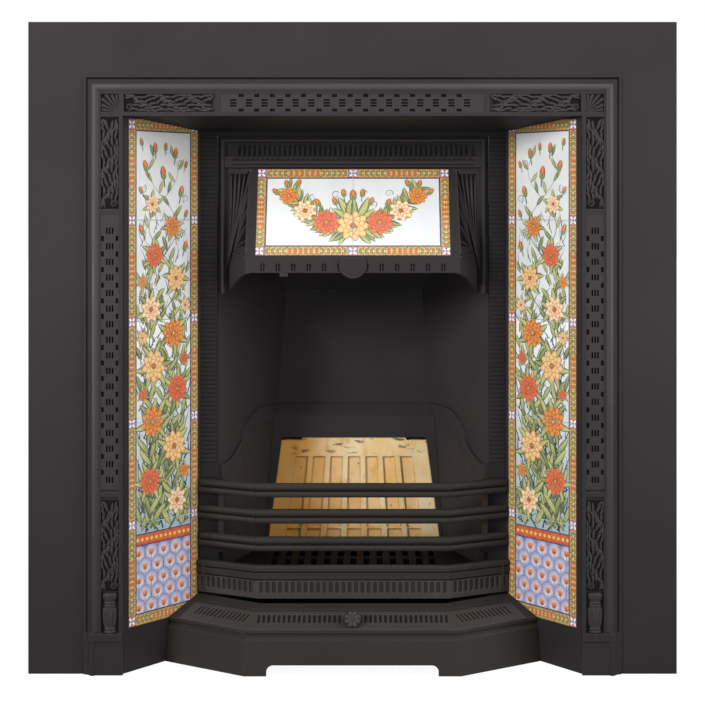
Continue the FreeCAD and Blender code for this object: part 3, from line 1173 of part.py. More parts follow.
def front_limit(back, gap=BAR_END_GAP):
    """Room between the splays, in front of a depth and a gap away from the splays."""
    plan = [(-splay_plane_x(0, gap), -HALF_OPENING), (-splay_plane_x(0, gap), 0), (-splay_plane_x(back, gap), back),
            (splay_plane_x(back, gap), back), (splay_plane_x(0, gap), 0), (splay_plane_x(0, gap), -HALF_OPENING)]
    return plan_prism(plan, 0, OPENING_HEIGHT)


def front_bars():
    """Three faceted bars joined by an upright near each end."""
    room = front_limit(ARCH_FACE - ARCH_BLOCK_RISE - BAR_END_GAP)
    bars = [faceted_piece(BAR_SETBACK, BAR_CORNER, BAR_ANGLE, bar_profile(low)).common(room)
            for low in BAR_BOTTOMS]
    front = BAR_SETBACK + (UPRIGHT_INNER - BAR_CORNER) * math.tan(math.radians(BAR_ANGLE)) + BAR_DEPTH * 0.8
    back = ARCH_FACE + BAR_UPRIGHT_DEPTH
    low, high = BAR_BOTTOMS[0], BAR_BOTTOMS[-1] + BAR_HEIGHT - 2
    upright = box(UPRIGHT_INNER, UPRIGHT_OUTER, front, back, low, high)
    middle = (UPRIGHT_INNER + UPRIGHT_OUTER) / 2
    tongue = box(middle - BAR_TONGUE_WIDTH / 2, middle + BAR_TONGUE_WIDTH / 2,
                 TONGUE_FRONT, TONGUE_FRONT + BAR_TONGUE_DEPTH, low - BAR_TONGUE_LENGTH, low + 1)
    return fuse(bars + [upright, tongue, mirrored(upright), mirrored(tongue)])


def bar_brackets():
    """Brackets on the arch plate's legs that carry the bars' uprights."""
    top = BAR_BOTTOMS[0]
    bracket = box(LOWER_JAMB - BAR_BRACKET_WIDTH, HALF_FIRE + 1, ARCH_FACE, JAMB_END - 1,
                  top - BAR_BRACKET_HEIGHT, top)
    return [bracket, mirrored(bracket)]


def bar_slots():
    """Slots in the brackets for the uprights' tongues."""
    gap = BAR_TONGUE_CLEARANCE
    middle = (UPRIGHT_INNER + UPRIGHT_OUTER) / 2
    top = BAR_BOTTOMS[0]
    slot = box(middle - BAR_TONGUE_WIDTH / 2 - gap, middle + BAR_TONGUE_WIDTH / 2 + gap,
               TONGUE_FRONT - gap, TONGUE_FRONT + BAR_TONGUE_DEPTH + gap, top - BAR_BRACKET_HEIGHT - 1, top + 1)
    return [slot, mirrored(slot)]


# --------------------------------------------------------------- lower fret
def lower_fret():
    """Fixed fret under the bars: two beads over an upright band."""
    top, low = FRET_TOP, FRET_BOTTOM
    rise = FRET_BEAD_RISE
    bead = FRET_BEAD_HEIGHT
    profile = [(rise, low), (rise, top - 2 * bead - 3), (1.2, top - 2 * bead - 1), (1.2, top - bead - 1.5),
               (2.6, top - bead), (0.6, top - bead + 1.5), (0.6, top - 2.5), (2.5, top),
               (rise + FRET_WALL, top), (rise + FRET_WALL, low)]
    fret = faceted_piece(BAR_SETBACK - rise, BAR_CORNER, BAR_ANGLE, profile).common(front_limit(ARCH_FACE - BAR_END_GAP))
    boss_front = BAR_SETBACK + (fret_bolt_x() - BAR_CORNER) * math.tan(math.radians(BAR_ANGLE))
    boss = box(fret_bolt_x() - 8, fret_bolt_x() + 8, boss_front, ARCH_FACE, low + 4, top - 8)
    fret = fuse([fret, boss, mirrored(boss)])
    depth = (ARCH_FACE - boss_front) * 0.5
    holes = [cylinder(BOLT_RADIUS, depth, (side * fret_bolt_x(), ARCH_FACE - depth, fret_bolt_z()), (0, 1, 0))
             for side in (-1, 1)]
    return fret.cut(holes)


def fret_bolt_x():
    """Bolts of the fret pass through the arch plate's legs."""
    return (HALF_FIRE + JAMB_WALL + ARCH_LEG_OUTER - JAMB_WALL) / 2 + 0.5


def fret_bolt_z():
    """Height of the fret's bolts."""
    return (FRET_TOP + FRET_BOTTOM) / 2


# ------------------------------------------------------------- ash-pit cover
def cover_profile():
    """Section of the cover: battered face, cove, lip and sloping top."""
    wall = COVER_WALL
    slope_start = COVER_BATTER + COVER_COVE_DEPTH
    lip = slope_start - COVER_LIP_REACH
    back = lip + COVER_SLOPE_DEPTH
    slope = (COVER_TOP - COVER_LIP_TOP) / COVER_SLOPE_DEPTH
    inner = slope_start + wall
    inner_top = COVER_LIP_TOP + slope * (inner - lip) - wall
    return [(0, 0), (COVER_BATTER, COVER_FACE_TOP), (slope_start, COVER_COVE_TOP - COVER_LIP_REACH),
            (slope_start, COVER_COVE_TOP), (lip, COVER_COVE_TOP), (lip, COVER_LIP_TOP),
            (back, COVER_TOP), (back, COVER_TOP - wall), (inner, inner_top),
            (inner, COVER_FACE_TOP - wall), (COVER_BATTER + wall, COVER_FACE_TOP - wall), (wall, 0)]


def ashpit_cover():
    """Ash-pit cover with feet; it draws forward off the hearth."""
    cover = faceted_piece(COVER_SETBACK, COVER_CORNER, COVER_ANGLE, cover_profile())
    cover = cover.common(front_limit(ARCH_FACE - COVER_END_GAP, COVER_END_GAP))
    half, rise, radius = COVER_ARCH_HALF, COVER_ARCH_HEIGHT, COVER_ARCH_RADIUS
    turn = [math.radians(15 * step) for step in range(7)]
    corner = [(half - radius + radius * math.cos(a), rise - radius + radius * math.sin(a)) for a in turn]
    outline = [(half, -1)] + corner + [(-x, z) for x, z in reversed(corner)] + [(-half, -1)]
    arch = front_prism(outline, COVER_SETBACK - 1, COVER_SETBACK + 3 * COVER_WALL)
    point, normal = knob_place()
    bore = Part.makeCylinder(SCREW_RADIUS + BOLT_CLEARANCE, 4 * COVER_WALL, point - normal * 3 * COVER_WALL, normal)
    return cover.cut([arch, bore])


def knob_place():
    """Foot of the knob on the sloping top, and the slope's normal."""
    rise = COVER_TOP - COVER_LIP_TOP
    length = math.hypot(rise, COVER_SLOPE_DEPTH)
    start = COVER_SETBACK + COVER_BATTER + COVER_COVE_DEPTH - COVER_LIP_REACH
    point = Vector(0, start + COVER_SLOPE_DEPTH * KNOB_SLOPE_PLACE, COVER_LIP_TOP + rise * KNOB_SLOPE_PLACE)
    return point, Vector(0, -rise / length, COVER_SLOPE_DEPTH / length)


def cover_knob():
    """Rosette knob: neck on the slope and a round head that faces forward."""
    point, normal = knob_place()
    tilt = math.radians(KNOB_FACE_TILT)
    facing = Vector(0, -math.cos(tilt), math.sin(tilt))
    neck = Part.makeCylinder(KNOB_NECK_RADIUS, KNOB_NECK_LENGTH, point, normal)
    head_base = point + normal * KNOB_NECK_LENGTH
    elbow = Part.makeSphere(KNOB_NECK_RADIUS, head_base)
    head = Part.makeCylinder(KNOB_RADIUS, KNOB_THICKNESS * 0.5, head_base, facing)
    crown = Part.makeCone(KNOB_RADIUS, KNOB_RADIUS * 0.6, KNOB_THICKNESS * 0.5,
                          head_base + facing * KNOB_THICKNESS * 0.5, facing)
    knob = fuse([neck, elbow, head, crown])
    bore = Part.makeCylinder(SCREW_RADIUS, KNOB_NECK_LENGTH, point - normal, normal)
    return knob.cut(bore)


def knob_stud():
    """Stud and nut that hold the knob to the cover."""
    point, normal = knob_place()
    wall = COVER_WALL
    tail = wall + KNOB_STUD_TAIL
    stud = Part.makeCylinder(SCREW_RADIUS, tail + KNOB_NECK_LENGTH - 1, point - normal * tail, normal)
    thickness = wall * normal.z
    nut = hexagon(KNOB_NUT_FLATS, KNOB_NUT_HEIGHT, point - normal * (thickness + KNOB_NUT_HEIGHT),
                  (normal.x, normal.y, normal.z))
    return fuse([stud, nut])


# ------------------------------------------------------------------ ash pan
def ashpit_floor():
    """Floor plate between the cheeks that the ash pan slides on."""
    front_x = LOWER_JAMB - BAR_BRACKET_WIDTH
    back = LINER_FACE - PIT_FLOOR_GAP
    bend = SIDE_START + PIT_FLOOR_GAP
    right = [(front_x, PIT_FLOOR_FRONT), (front_x, bend),
             (cheek_x(back, 0) - PIT_FLOOR_GAP, back)]
    return plan_prism(right + [(-x, y) for x, y in reversed(right)], 0, PIT_FLOOR_THICKNESS)


def ash_pan():
    """Sheet steel pan under the grate."""
    half, wall = PAN_HALF_WIDTH, PAN_WALL
    back = LINER_FACE - PAN_STOP_GAP
    low, high = PIT_FLOOR_THICKNESS, PIT_FLOOR_THICKNESS + PAN_HEIGHT
    pan = box(-half, half, PAN_FRONT, back, low, high)
    inside = box(-half + wall, half - wall, PAN_FRONT + wall, back - wall, low + wall, high + 1)
    lip = box(-half, half, PAN_FRONT - wall * 2, PAN_FRONT + wall, high - wall, high)
    return fuse([pan.cut(inside), lip])


def ash_pan_handle():
    """Bow handle on the pan's front."""
    reach, radius, half = PAN_HANDLE_REACH, PAN_HANDLE_RADIUS, PAN_HANDLE_HALF
    z = PAN_HANDLE_HEIGHT
    bar = cylinder(radius, 2 * half, (-half, PAN_FRONT - reach, z), (1, 0, 0))
    ends = [Part.makeSphere(radius, Vector(side * half, PAN_FRONT - reach, z)) for side in (-1, 1)]
    legs = [cylinder(radius, reach, (side * half, PAN_FRONT - reach, z), (0, 1, 0)) for side in (-1, 1)]
    return fuse([bar] + ends + legs)


# ---------------------------------------------------------------- fastenings
def both_sides(pieces):
    """A group of pieces and their mirror images."""
    return Part.makeCompound(pieces + [mirrored(piece) for piece in pieces])


def surround_bolts():
    """Bolts that hold the tile frames to the plate's back."""
    pieces = []
    for x, z in surround_bolt_places():
        back = PLATE_THICKNESS + SPLAY_FLANGE_THICKNESS
        head = hexagon(BOLT_HEAD_FLATS, BOLT_HEAD_HEIGHT, (x, back, z), (0, 1, 0))
        shank = cylinder(BOLT_RADIUS, back - 3, (x, 3, z), (0, 1, 0))
        pieces.append(fuse([shank, head]))
    return both_sides(pieces)


def arch_bolts():
    """Bolts and nuts that hold the arch plate to the tile frames."""
    grip = SPLAY_FLANGE_THICKNESS + ARCH_FLANGE_THICKNESS
    base = ARCH_FLANGE_FACE - SPLAY_FLANGE_THICKNESS
    return both_sides([bolt((x, base, z), (0, 1, 0), grip) for x, z in arch_bolt_places()])


def wall_lugs():
    """Right pair of angle lugs that fix the plate to the brickwork."""
    pieces = []
    for x, z in lug_places():
        outer = LUG_OFFSET
        y0 = PLATE_THICKNESS
        foot = box(outer - LUG_FOOT, outer, y0, y0 + LUG_THICKNESS, z - LUG_HEIGHT / 2, z + LUG_HEIGHT / 2)
        arm = box(outer - LUG_THICKNESS, outer, y0, y0 + LUG_THICKNESS + LUG_REACH,
                  z - LUG_HEIGHT / 2, z + LUG_HEIGHT / 2)
        hole = cylinder(LUG_HOLE_RADIUS, LUG_THICKNESS + 2, (outer - LUG_THICKNESS - 1, LUG_HOLE_DEPTH, z), (1, 0, 0))
        bolt_room = bolt_hole((x, y0, z), (0, 1, 0), LUG_THICKNESS)
        pieces.append(fuse([foot, arm]).cut([hole, bolt_room]))
    return Part.makeCompound(pieces)


def lug_bolts():
    """Bolts that hold the wall lugs to the plate."""
    pieces = []
    for x, z in lug_places():
        back = PLATE_THICKNESS + LUG_THICKNESS
        head = hexagon(BOLT_HEAD_FLATS, BOLT_HEAD_HEIGHT, (x, back, z), (0, 1, 0))
        shank = cylinder(BOLT_RADIUS, back - 3, (x, 3, z), (0, 1, 0))
        pieces.append(fuse([shank, head]))
    return both_sides(pieces)


def build():
    """All nodes by name."""
    nodes = {
        "front_surround": front_surround(),
        "header_soffit": header_soffit(),
        "right_tile_frame": splay_frame(),
        "right_tile_back_plate": tile_backplate(),
        "right_tile_screws": backplate_screws(),
        "arch_plate": arch_plate(),
        "hood_frame": hood_frame(),
        "canopy_hood": canopy_hood(),
        "hood_tile_left": hood_tile(-1),
        "hood_tile_right": hood_tile(1),
        "hood_tile_retainers": hood_tile_retainers(),
        "hood_back_plate": hood_back_plate(),
        "canopy_bolts": canopy_bolts(),
        "hood_frame_bolts": hood_frame_bolts(),
        "firebox_right_wall": firebox_side_wall(),
        "firebox_back_wall": firebox_back_wall(),
        "right_liner_cheek": liner_cheek(),
        "back_liner": back_liner(),
        "fireback_brick": fireback_brick(),
        "throat_plate": throat_plate(),
        "damper_flap": damper_flap(),
        "damper_pins": damper_pins(),
        "bottom_grate": bottom_grate(),
        "front_bars": front_bars(),
        "lower_fret": lower_fret(),
        "ashpit_cover": ashpit_cover(),
        "cover_knob": cover_knob(),
        "knob_stud": knob_stud(),
        "ashpit_floor": ashpit_floor(),
        "ash_pan": ash_pan(),
        "ash_pan_handle": ash_pan_handle(),
        "surround_bolts": surround_bolts(),
        "arch_bolts": arch_bolts(),
        "right_wall_lugs": wall_lugs(),
        "lug_bolts": lug_bolts(),
    }
    for index in range(TILE_COUNT):
        nodes["right_tile_%d" % (index + 1)] = side_tile(index)
    for name in [n for n in nodes if n.startswith("right_")] + ["firebox_right_wall"]:
        nodes[name.replace("right", "left")] = mirrored(nodes[name])
    return nodes


def footprint_middle():
    """Depth of the footprint's middle behind the plate's face."""
    return (COVER_SETBACK + FIREBOX_DEPTH + FIREBOX_WALL) / 2


def main():
    """Write one STEP file for each node, with the origin in the middle of the footprint."""
    os.makedirs("parts", exist_ok=True)
    for name, shape in build().items():
        shape.translate(Vector(0, -footprint_middle(), 0))
        shape.exportStep("parts/%s.step" % name)
        print(name, "solids", len(shape.Solids), "valid", shape.isValid(), "volume %.0f" % shape.Volume)


if __name__ == "__main__":
    main()
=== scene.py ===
"""Dresses a tiled cast iron fireplace: its finishes, cast ornament, painted tiles and studio."""
import logging
import math
from contextlib import contextmanager
from dataclasses import dataclass
from enum import Enum
from typing import Iterable, Iterator, Sequence

import bpy
import numpy as np
from mathutils import Matrix, Vector


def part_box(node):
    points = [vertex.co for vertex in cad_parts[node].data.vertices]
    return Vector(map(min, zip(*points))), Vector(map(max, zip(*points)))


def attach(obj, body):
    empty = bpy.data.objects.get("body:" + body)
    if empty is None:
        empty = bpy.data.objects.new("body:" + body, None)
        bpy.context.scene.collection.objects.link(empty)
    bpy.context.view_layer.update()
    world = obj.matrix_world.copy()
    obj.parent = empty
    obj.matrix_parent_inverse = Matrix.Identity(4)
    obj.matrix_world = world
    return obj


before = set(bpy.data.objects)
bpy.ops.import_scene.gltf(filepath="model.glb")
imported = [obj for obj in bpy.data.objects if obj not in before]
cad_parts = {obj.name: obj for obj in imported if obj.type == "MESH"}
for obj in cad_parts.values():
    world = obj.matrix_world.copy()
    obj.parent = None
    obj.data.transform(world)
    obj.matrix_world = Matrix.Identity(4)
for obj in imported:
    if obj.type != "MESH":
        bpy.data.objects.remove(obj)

LOG = logging.getLogger("fireplace")
MM = 0.001
RIM_DEPTH = 20.0
FACE_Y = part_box("front_surround")[1].y / MM - RIM_DEPTH
RIGHT = Vector((1, 0, 0)).freeze()
UP = Vector((0, 0, 1)).freeze()
SHADE_SHEET_LOW, SHADE_SHEET_HIGH = 0.02, 0.14
SIDES = (-1, 1)

Piece = bpy.types.Object
Material = bpy.types.Material
Socket = bpy.types.NodeSocket
Place = tuple[float, float]
Strand = Sequence[tuple[float, float, float]]


class Slot(Enum):
    """Material slots of the record."""

    IRON = "cast_iron"
    TILE = "glazed_tile"


class Body(Enum):
    """Bodies that pieces ride on."""

    ROOT = "root"
    COVER = "ashpit_cover_body"
    BARS = "front_bars_body"


# ------------------------------------------------------------------ places
def at(x: float, depth: float, z: float) -> Vector:
    """Returns a place in metres from millimetres across, behind the plate's face and up."""
    return Vector((x, depth + FACE_Y, z)) * MM


def between(low: float, high: float, share: float) -> float:
    """Returns the value at a share of the way from one value to another."""
    return low + (high - low) * share


def turned(degrees: float) -> Vector:
    """Returns the direction across, turned in plan towards the wall."""
    turn = math.radians(degrees)
    return Vector((math.cos(turn), math.sin(turn), 0))


@dataclass(frozen=True)
class Facet:
    """A flat working face: s runs along it, t runs up it and n stands out of it."""

    origin: Vector
    along: Vector
    up: Vector

    def matrix(self) -> Matrix:
        """Builds the matrix that carries a local shape in metres onto the face.

        Returns:
            The matrix.
        """
        out = self.along.cross(self.up)
        turn = Matrix((self.along, self.up, out)).transposed().to_4x4()
        return Matrix.Translation(self.origin) @ turn


def front(depth: float, x: float = 0.0, z: float = 0.0) -> Facet:
    """Returns the upright face at a depth, with s and t counted from a place across and up."""
    return Facet(at(x, depth, z), RIGHT, UP)


def facing(origin: Vector, out: Sequence[float]) -> Facet:
    """Lays a face through a place that looks in a direction.

    Args:
        origin: the place.
        out: the direction.

    Returns:
        The face.
    """
    normal = Vector(out).normalized()
    up = (UP - normal * normal.z).normalized()
    return Facet(origin, up.cross(normal), up)


# ------------------------------------------------------------------- bench
def pick(*objects: Piece) -> None:
    """Selects only these objects and makes the first one active.

    Args:
        objects: the objects.
    """
    bpy.ops.object.select_all(action="DESELECT")
    for obj in objects:
        obj.select_set(True)
    if objects:
        bpy.context.view_layer.objects.active = objects[0]


@contextmanager
def editing(obj: Piece) -> Iterator[None]:
    """Opens a piece for mesh editing, with all of it selected, and closes it again.

    Args:
        obj: the piece.
    """
    pick(obj)
    bpy.ops.object.mode_set(mode="EDIT")
    bpy.ops.mesh.select_all(action="SELECT")
    yield
    bpy.ops.object.mode_set(mode="OBJECT")


def named(name: str) -> Piece:
    """Names the active object and its mesh.

    Args:
        name: the name.

    Returns:
        The object.
    """
    obj = bpy.context.view_layer.objects.active
    obj.name = name
    obj.data.name = name
    return obj


def settle(obj: Piece) -> Piece:
    """Moves an object's place, turn and scale into its mesh.

    Args:
        obj: the object.

    Returns:
        The object.
    """
    obj.data.transform(obj.matrix_basis)
    obj.matrix_basis = Matrix.Identity(4)
    return obj


def block(name: str, low: Sequence[float], high: Sequence[float]) -> Piece:
    """Adds a cube between two corners.

    Args:
        name: the piece's name.
        low: lowest corner in millimetres.
        high: highest corner in millimetres.

    Returns:
        The new piece.
    """
    pick()
    low_m, high_m = Vector(low) * MM, Vector(high) * MM
    bpy.ops.mesh.primitive_cube_add(size=1, location=(low_m + high_m) / 2, scale=high_m - low_m)
    return settle(named(name))


def copied(obj: Piece, move: Matrix, name: str) -> Piece:
    """Copies a piece with its own mesh.

    Args:
        obj: the piece to copy.
        move: matrix that carries the copy to its place.
        name: the copy's name.

    Returns:
        The copy.
    """
    twin = obj.copy()
    twin.data = obj.data.copy()
    twin.data.transform(move)
    if move.determinant() < 0:
        twin.data.flip_normals()
    bpy.context.scene.collection.objects.link(twin)
    twin.name = name
    twin.data.name = name
    return twin


def joined(name: str, pieces: Sequence[Piece]) -> Piece:
    """Joins pieces into one.

    Args:
        name: name of the one piece.
        pieces: the pieces to join.

    Returns:
        The one piece.
    """
    pick(*pieces)
    if len(pieces) > 1:
        bpy.ops.object.join()
    return named(name)


def placed(obj: Piece, facet: Facet) -> Piece:
    """Carries a piece drawn flat onto a facet and returns it."""
    obj.data.transform(facet.matrix())
    return obj


def mirror_of(obj: Piece) -> Piece:
    """Returns a right-hand piece's twin on the other side of the centre line."""
    return copied(obj, Matrix.Scale(-1, 4, RIGHT), obj.name.replace("right", "left"))


def changed(obj: Piece, kind: str, **settings: object) -> Piece:
    """Applies a modifier.

    Args:
        obj: the piece.
        kind: the modifier's type.
        settings: the modifier's own options.

    Returns:
        The piece.
    """
    change = obj.modifiers.new(kind, kind)
    for key, value in settings.items():
        setattr(change, key, value)
    pick(obj)
    bpy.ops.object.modifier_apply(modifier=change.name)
    return obj


def cut(obj: Piece, cutters: Sequence[Piece]) -> Piece:
    """Takes the joined cutters out of a piece.

    Args:
        obj: the piece.
        cutters: the shapes to take out.

    Returns:
        The piece.
    """
    tool = joined("cutter", cutters)
    changed(obj, "BOOLEAN", operation="DIFFERENCE", solver="EXACT", object=tool)
    bpy.data.objects.remove(tool)
    return obj


def smooth(obj: Piece, angle: float = 40.0) -> Piece:
    """Shades a piece smooth across shallow edges.

    Args:
        obj: the piece.
        angle: largest angle in degrees that is shaded smooth.

    Returns:
        The piece.
    """
    pick(obj)
    bpy.ops.object.shade_smooth_by_angle(angle=math.radians(angle))
    return obj


def eased(obj: Piece, width: float, segments: int = 2, angle: float = 35.0) -> Piece:
    """Rounds a piece's edges, where they bend by more than an angle in degrees, and returns it."""
    return smooth(changed(obj, "BEVEL", width=width * MM, segments=segments, limit_method="ANGLE",
                          angle_limit=math.radians(angle)))


def crisp(obj: Piece, width: float) -> Piece:
    """Takes a narrow chamfer off a flat piece's edges, keeps its faces flat and returns it."""
    eased(obj, width, 1).data.shade_flat()
    return obj


def strands(name: str, paths: Iterable[Strand], facet: Facet, flat: float = 0.75) -> Piece:
    """Casts tapered rounded strands on a face, half sunk into it.

    Args:
        name: the piece's name.
        paths: for each strand its points as (s, t, half width) in millimetres.
        facet: the face that the strands lie on.
        flat: height of a strand as a share of its half width.

    Returns:
        The new piece.
    """
    pick()
    bpy.ops.curve.primitive_bezier_curve_add()
    curve = bpy.context.view_layer.objects.active
    curve.matrix_basis = Matrix.Identity(4)
    data = curve.data
    data.splines.clear()
    data.dimensions = "3D"
    data.bevel_depth = MM
    data.bevel_resolution = 1
    data.use_fill_caps = True
    for path in paths:
        spline = data.splines.new("POLY")
        spline.points.add(len(path) - 1)
        for point, (s, t, radius) in zip(spline.points, path):
            point.co = (s * MM, t * MM, 0, 1)
            point.radius = radius
    pick(curve)
    bpy.ops.object.convert(target="MESH")
    obj = named(name)
    obj.data.transform(Matrix.Scale(flat, 4, UP))
    return smooth(placed(obj, facet), 60)


def straight(start: Place, end: Place, half: float, steps: int = 2, taper: float = 0.0) -> Strand:
    """Draws a straight strand of this half width, which loses a share of it towards both ends."""
    return [(between(start[0], end[0], u), between(start[1], end[1], u),
             half * (1 - taper * (2 * u - 1) ** 2)) for u in (index / steps for index in range(steps + 1))]


def ring(radius: float, half: float, start: float, turn: float, steps: int, height: float = 0.0) -> Strand:
    """Draws a strand round an arc over the origin, from a direction on, by a turn in degrees at each step."""
    angles = [math.radians(start + turn * index) for index in range(steps + 1)]
    return [(radius * math.cos(angle), height + radius * math.sin(angle), half) for angle in angles]


def ground(name: str, low: Place, high: Place, facet: Facet, foot: Place | None = None) -> Piece:
    """Lays a thin dark sheet of painted shade in the hollows of a relief.

    Args:
        name: the piece's name.
        low: lowest corner on the face in millimetres.
        high: highest corner.
        facet: the face.
        foot: where the lower edge starts and ends, or None for a plain rectangle.

    Returns:
        The piece.
    """
    sheet = block(name, (*low, SHADE_SHEET_LOW), (*high, SHADE_SHEET_HIGH))
    for vertex in sheet.data.vertices if foot else ():
        if vertex.co.y < between(low[1], high[1], 0.5) * MM:
            vertex.co.x = (foot[0] if vertex.co.x < between(low[0], high[0], 0.5) * MM else foot[1]) * MM
    return placed(sheet, facet)


def finish_piece(obj: Piece, material: Material, body: Body = Body.ROOT, slot: Slot = Slot.IRON) -> None:
    """Gives a piece its finish and the body that it rides on.

    Args:
        obj: the piece.
        material: its finish.
        body: the body that carries it.
        slot: not used.
    """
    obj.data.materials.clear()
    obj.data.materials.append(material)
    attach(obj, body.value)
    LOG.info("%s: %d faces on %s", obj.name, len(obj.data.polygons), body.value)


def finish_pair(obj: Piece, material: Material, body: Body = Body.ROOT, slot: Slot = Slot.IRON) -> None:
    """Finishes a right-hand piece and its left-hand twin."""
    for piece in (obj, mirror_of(obj)):
        finish_piece(piece, material, body, slot)


# ---------------------------------------------------------------- finishes
def linear(code: str) -> tuple[float, float, float, float]:
    """Brings a colour into linear light.

    Args:
        code: the colour as six hex digits.

    Returns:
        Its red, green and blue shares and an alpha of 1.
    """
    shares = [int(code[i:i + 2], 16) / 255 for i in (0, 2, 4)]
    values = [c / 12.92 if c <= 0.04045 else ((c + 0.055) / 1.055) ** 2.4 for c in shares]
    return (values[0], values[1], values[2], 1.0)


@dataclass(frozen=True)
class Cloud:
    """A noise: its scale per metre, its detail, the band of it that counts and what that band becomes."""

    scale: float
    detail: float
    low: float = 0.3
    high: float = 0.7
    to_low: float = 0.0
    to_high: float = 1.0
    stretch: tuple[float, float, float] = (1, 1, 1)


class Nodes:
    """A node tree and short ways to fill it."""

    def __init__(self, tree: bpy.types.NodeTree) -> None:
        """Empties the tree."""
        self.tree = tree
        tree.nodes.clear()

    def add(self, kind: str, inputs: dict | None = None, **settings: object) -> Sequence[Socket]:
        """Adds a node.

        Args:
            kind: the shader node's type.
            inputs: socket names or numbers with their values or the sockets that feed them.
            settings: the node's own options.

        Returns:
            The node's outputs.
        """
        node = self.tree.nodes.new("ShaderNode" + kind)
        for key, value in settings.items():
            setattr(node, key, value)
        for key, value in (inputs or {}).items():
            if isinstance(value, Socket):
                self.tree.links.new(value, node.inputs[key])
            else:
                node.inputs[key].default_value = value
        return node.outputs

    def combine(self, operation: str, first: Socket, second: Socket) -> Socket:
        """Returns what an operation makes of two values."""
        return self.add("Math", {0: first, 1: second}, operation=operation)[0]

    def ranged(self, value: Socket, low: float, high: float, to_low: float, to_high: float) -> Socket:
        """Returns a value carried from one range to another, held inside it."""
        return self.add("MapRange", {"Value": value, "From Min": low, "From Max": high,
                                     "To Min": to_low, "To Max": to_high})[0]

    def seen(self) -> Socket:
        """Tells camera, glossy and transmission rays from the others.

        Returns:
            A share that is 1 for these rays.
        """
        rays = self.add("LightPath")
        either = self.combine("MAXIMUM", rays["Is Camera Ray"], rays["Is Glossy Ray"])
        return self.combine("MAXIMUM", either, rays["Is Transmission Ray"])


class Recipe(Nodes):
    """A material and the nodes that make it."""

    def __init__(self, name: str) -> None:
        """Starts an empty material.

        Args:
            name: the material's name.
        """
        self.material = bpy.data.materials.new(name)
        self.material.use_nodes = True
        super().__init__(self.material.node_tree)
        self.place = self.add("TexCoord")["Object"]

    def noise(self, scale: float, detail: float, stretch: Sequence[float] = (1, 1, 1)) -> Socket:
        """Returns the value of a noise of this scale, per metre, stretched along the axes."""
        moved = self.add("Mapping", {"Vector": self.place, "Scale": stretch})[0]
        return self.add("TexNoise", {"Vector": moved, "Scale": scale, "Detail": detail})["Fac"]

    def cloud(self, cloud: Cloud) -> Socket:
        """Returns a noise with its band carried to its new range."""
        value = self.noise(cloud.scale, cloud.detail, cloud.stretch)
        return self.ranged(value, cloud.low, cloud.high, cloud.to_low, cloud.to_high)

    def blend(self, share: Socket, first: str | Socket, second: str | Socket) -> Socket:
        """Returns two colours, each a code or a socket, mixed by a share."""
        first, second = (linear(tone) if isinstance(tone, str) else tone for tone in (first, second))
        return self.add("Mix", {0: share, 6: first, 7: second}, data_type="RGBA")[2]

    def edges(self, radius: float, sharp: float = 0.12) -> tuple[Socket, Socket]:
        """Finds a piece's edges.

        Args:
            radius: width of the rounded edge in millimetres.
            sharp: bend at which the edge counts in full.

        Returns:
            The rounded normal, and a mask that is 1 on the edges.
        """
        rounded = self.add("Bevel", {"Radius": radius * MM}, samples=6)[0]
        flat = self.add("NewGeometry")["Normal"]
        along = self.add("VectorMath", {0: rounded, 1: flat}, operation="DOT_PRODUCT")["Value"]
        return rounded, self.ranged(along, 1.0, 1.0 - sharp, 0.0, 1.0)

    def bump(self, scale: float, detail: float, strength: float, distance: float,
             normal: Socket | None = None) -> Socket:
        """Bumps a normal by a noise.

        Args:
            scale: the noise's scale per metre.
            detail: the noise's detail.
            strength: share of the bump that counts.
            distance: its height in millimetres.
            normal: the normal that it starts from, or None for the surface's own.

        Returns:
            The bumped normal.
        """
        inputs = {"Height": self.noise(scale, detail), "Strength": strength, "Distance": distance * MM}
        if normal is not None:
            inputs["Normal"] = normal
        return self.add("Bump", inputs)[0]

    def surface(self, colour: Socket, rough: float | Socket, normal: Socket, **more: float) -> Material:
        """Ends the material in a shader.

        Args:
            colour: its base colour.
            rough: its roughness.
            normal: its normal.
            more: other inputs, with underscores for the spaces in their names.

        Returns:
            The material.
        """
        inputs = {"Base Color": colour, "Roughness": rough, "Normal": normal}
        inputs.update({name.replace("_", " "): value for name, value in more.items()})
        self.add("OutputMaterial", {"Surface": self.add("BsdfPrincipled", inputs)[0]})
        return self.material


@dataclass(frozen=True)
class Iron:
    """Blacked cast iron: a fine sand-cast grain, uneven polish, paler edges that are part wear from rubbing
    and part painted highlight, and painted shade towards its foot.
    """

    FOOT_SHADE = "121011"
    FOOT_HEIGHT = 0.55
    MOTTLE = Cloud(7.0, 5.0, to_low=0.2, to_high=0.8)
    EDGE_PATCHES = Cloud(38.0, 3.0, to_low=0.45)
    name: str
    dark: str
    light: str
    edge: str
    rough_low: float
    rough_high: float
    rounding: float
    grain: float
    gloss: float
    foot: float = 0.0

    def material(self) -> Material:
        """Builds the finish.

        Returns:
            The material.
        """
        recipe = Recipe(self.name)
        normal, edge = recipe.edges(self.rounding)
        colour = recipe.blend(recipe.cloud(self.MOTTLE), self.dark, self.light)
        height = recipe.add("SeparateXYZ", {0: recipe.place})[2]
        # Painted shade: the iron darkens towards the floor, by the share given as foot.
        colour = recipe.blend(recipe.ranged(height, 0.0, self.FOOT_HEIGHT, self.foot, 0.0), colour, self.FOOT_SHADE)
        # Paler edges: part wear from rubbing, part painted highlight.
        colour = recipe.blend(recipe.combine("MULTIPLY", edge, recipe.cloud(self.EDGE_PATCHES)), colour, self.edge)
        polish = recipe.cloud(Cloud(16.0, 4.0, to_low=self.rough_low, to_high=self.rough_high))
        normal = recipe.bump(520.0, 3.0, strength=0.5, distance=self.grain, normal=normal)
        normal = recipe.bump(45.0, 2.0, strength=0.25, distance=0.4, normal=normal)
        return recipe.surface(colour, polish, normal, Specular_IOR_Level=self.gloss)


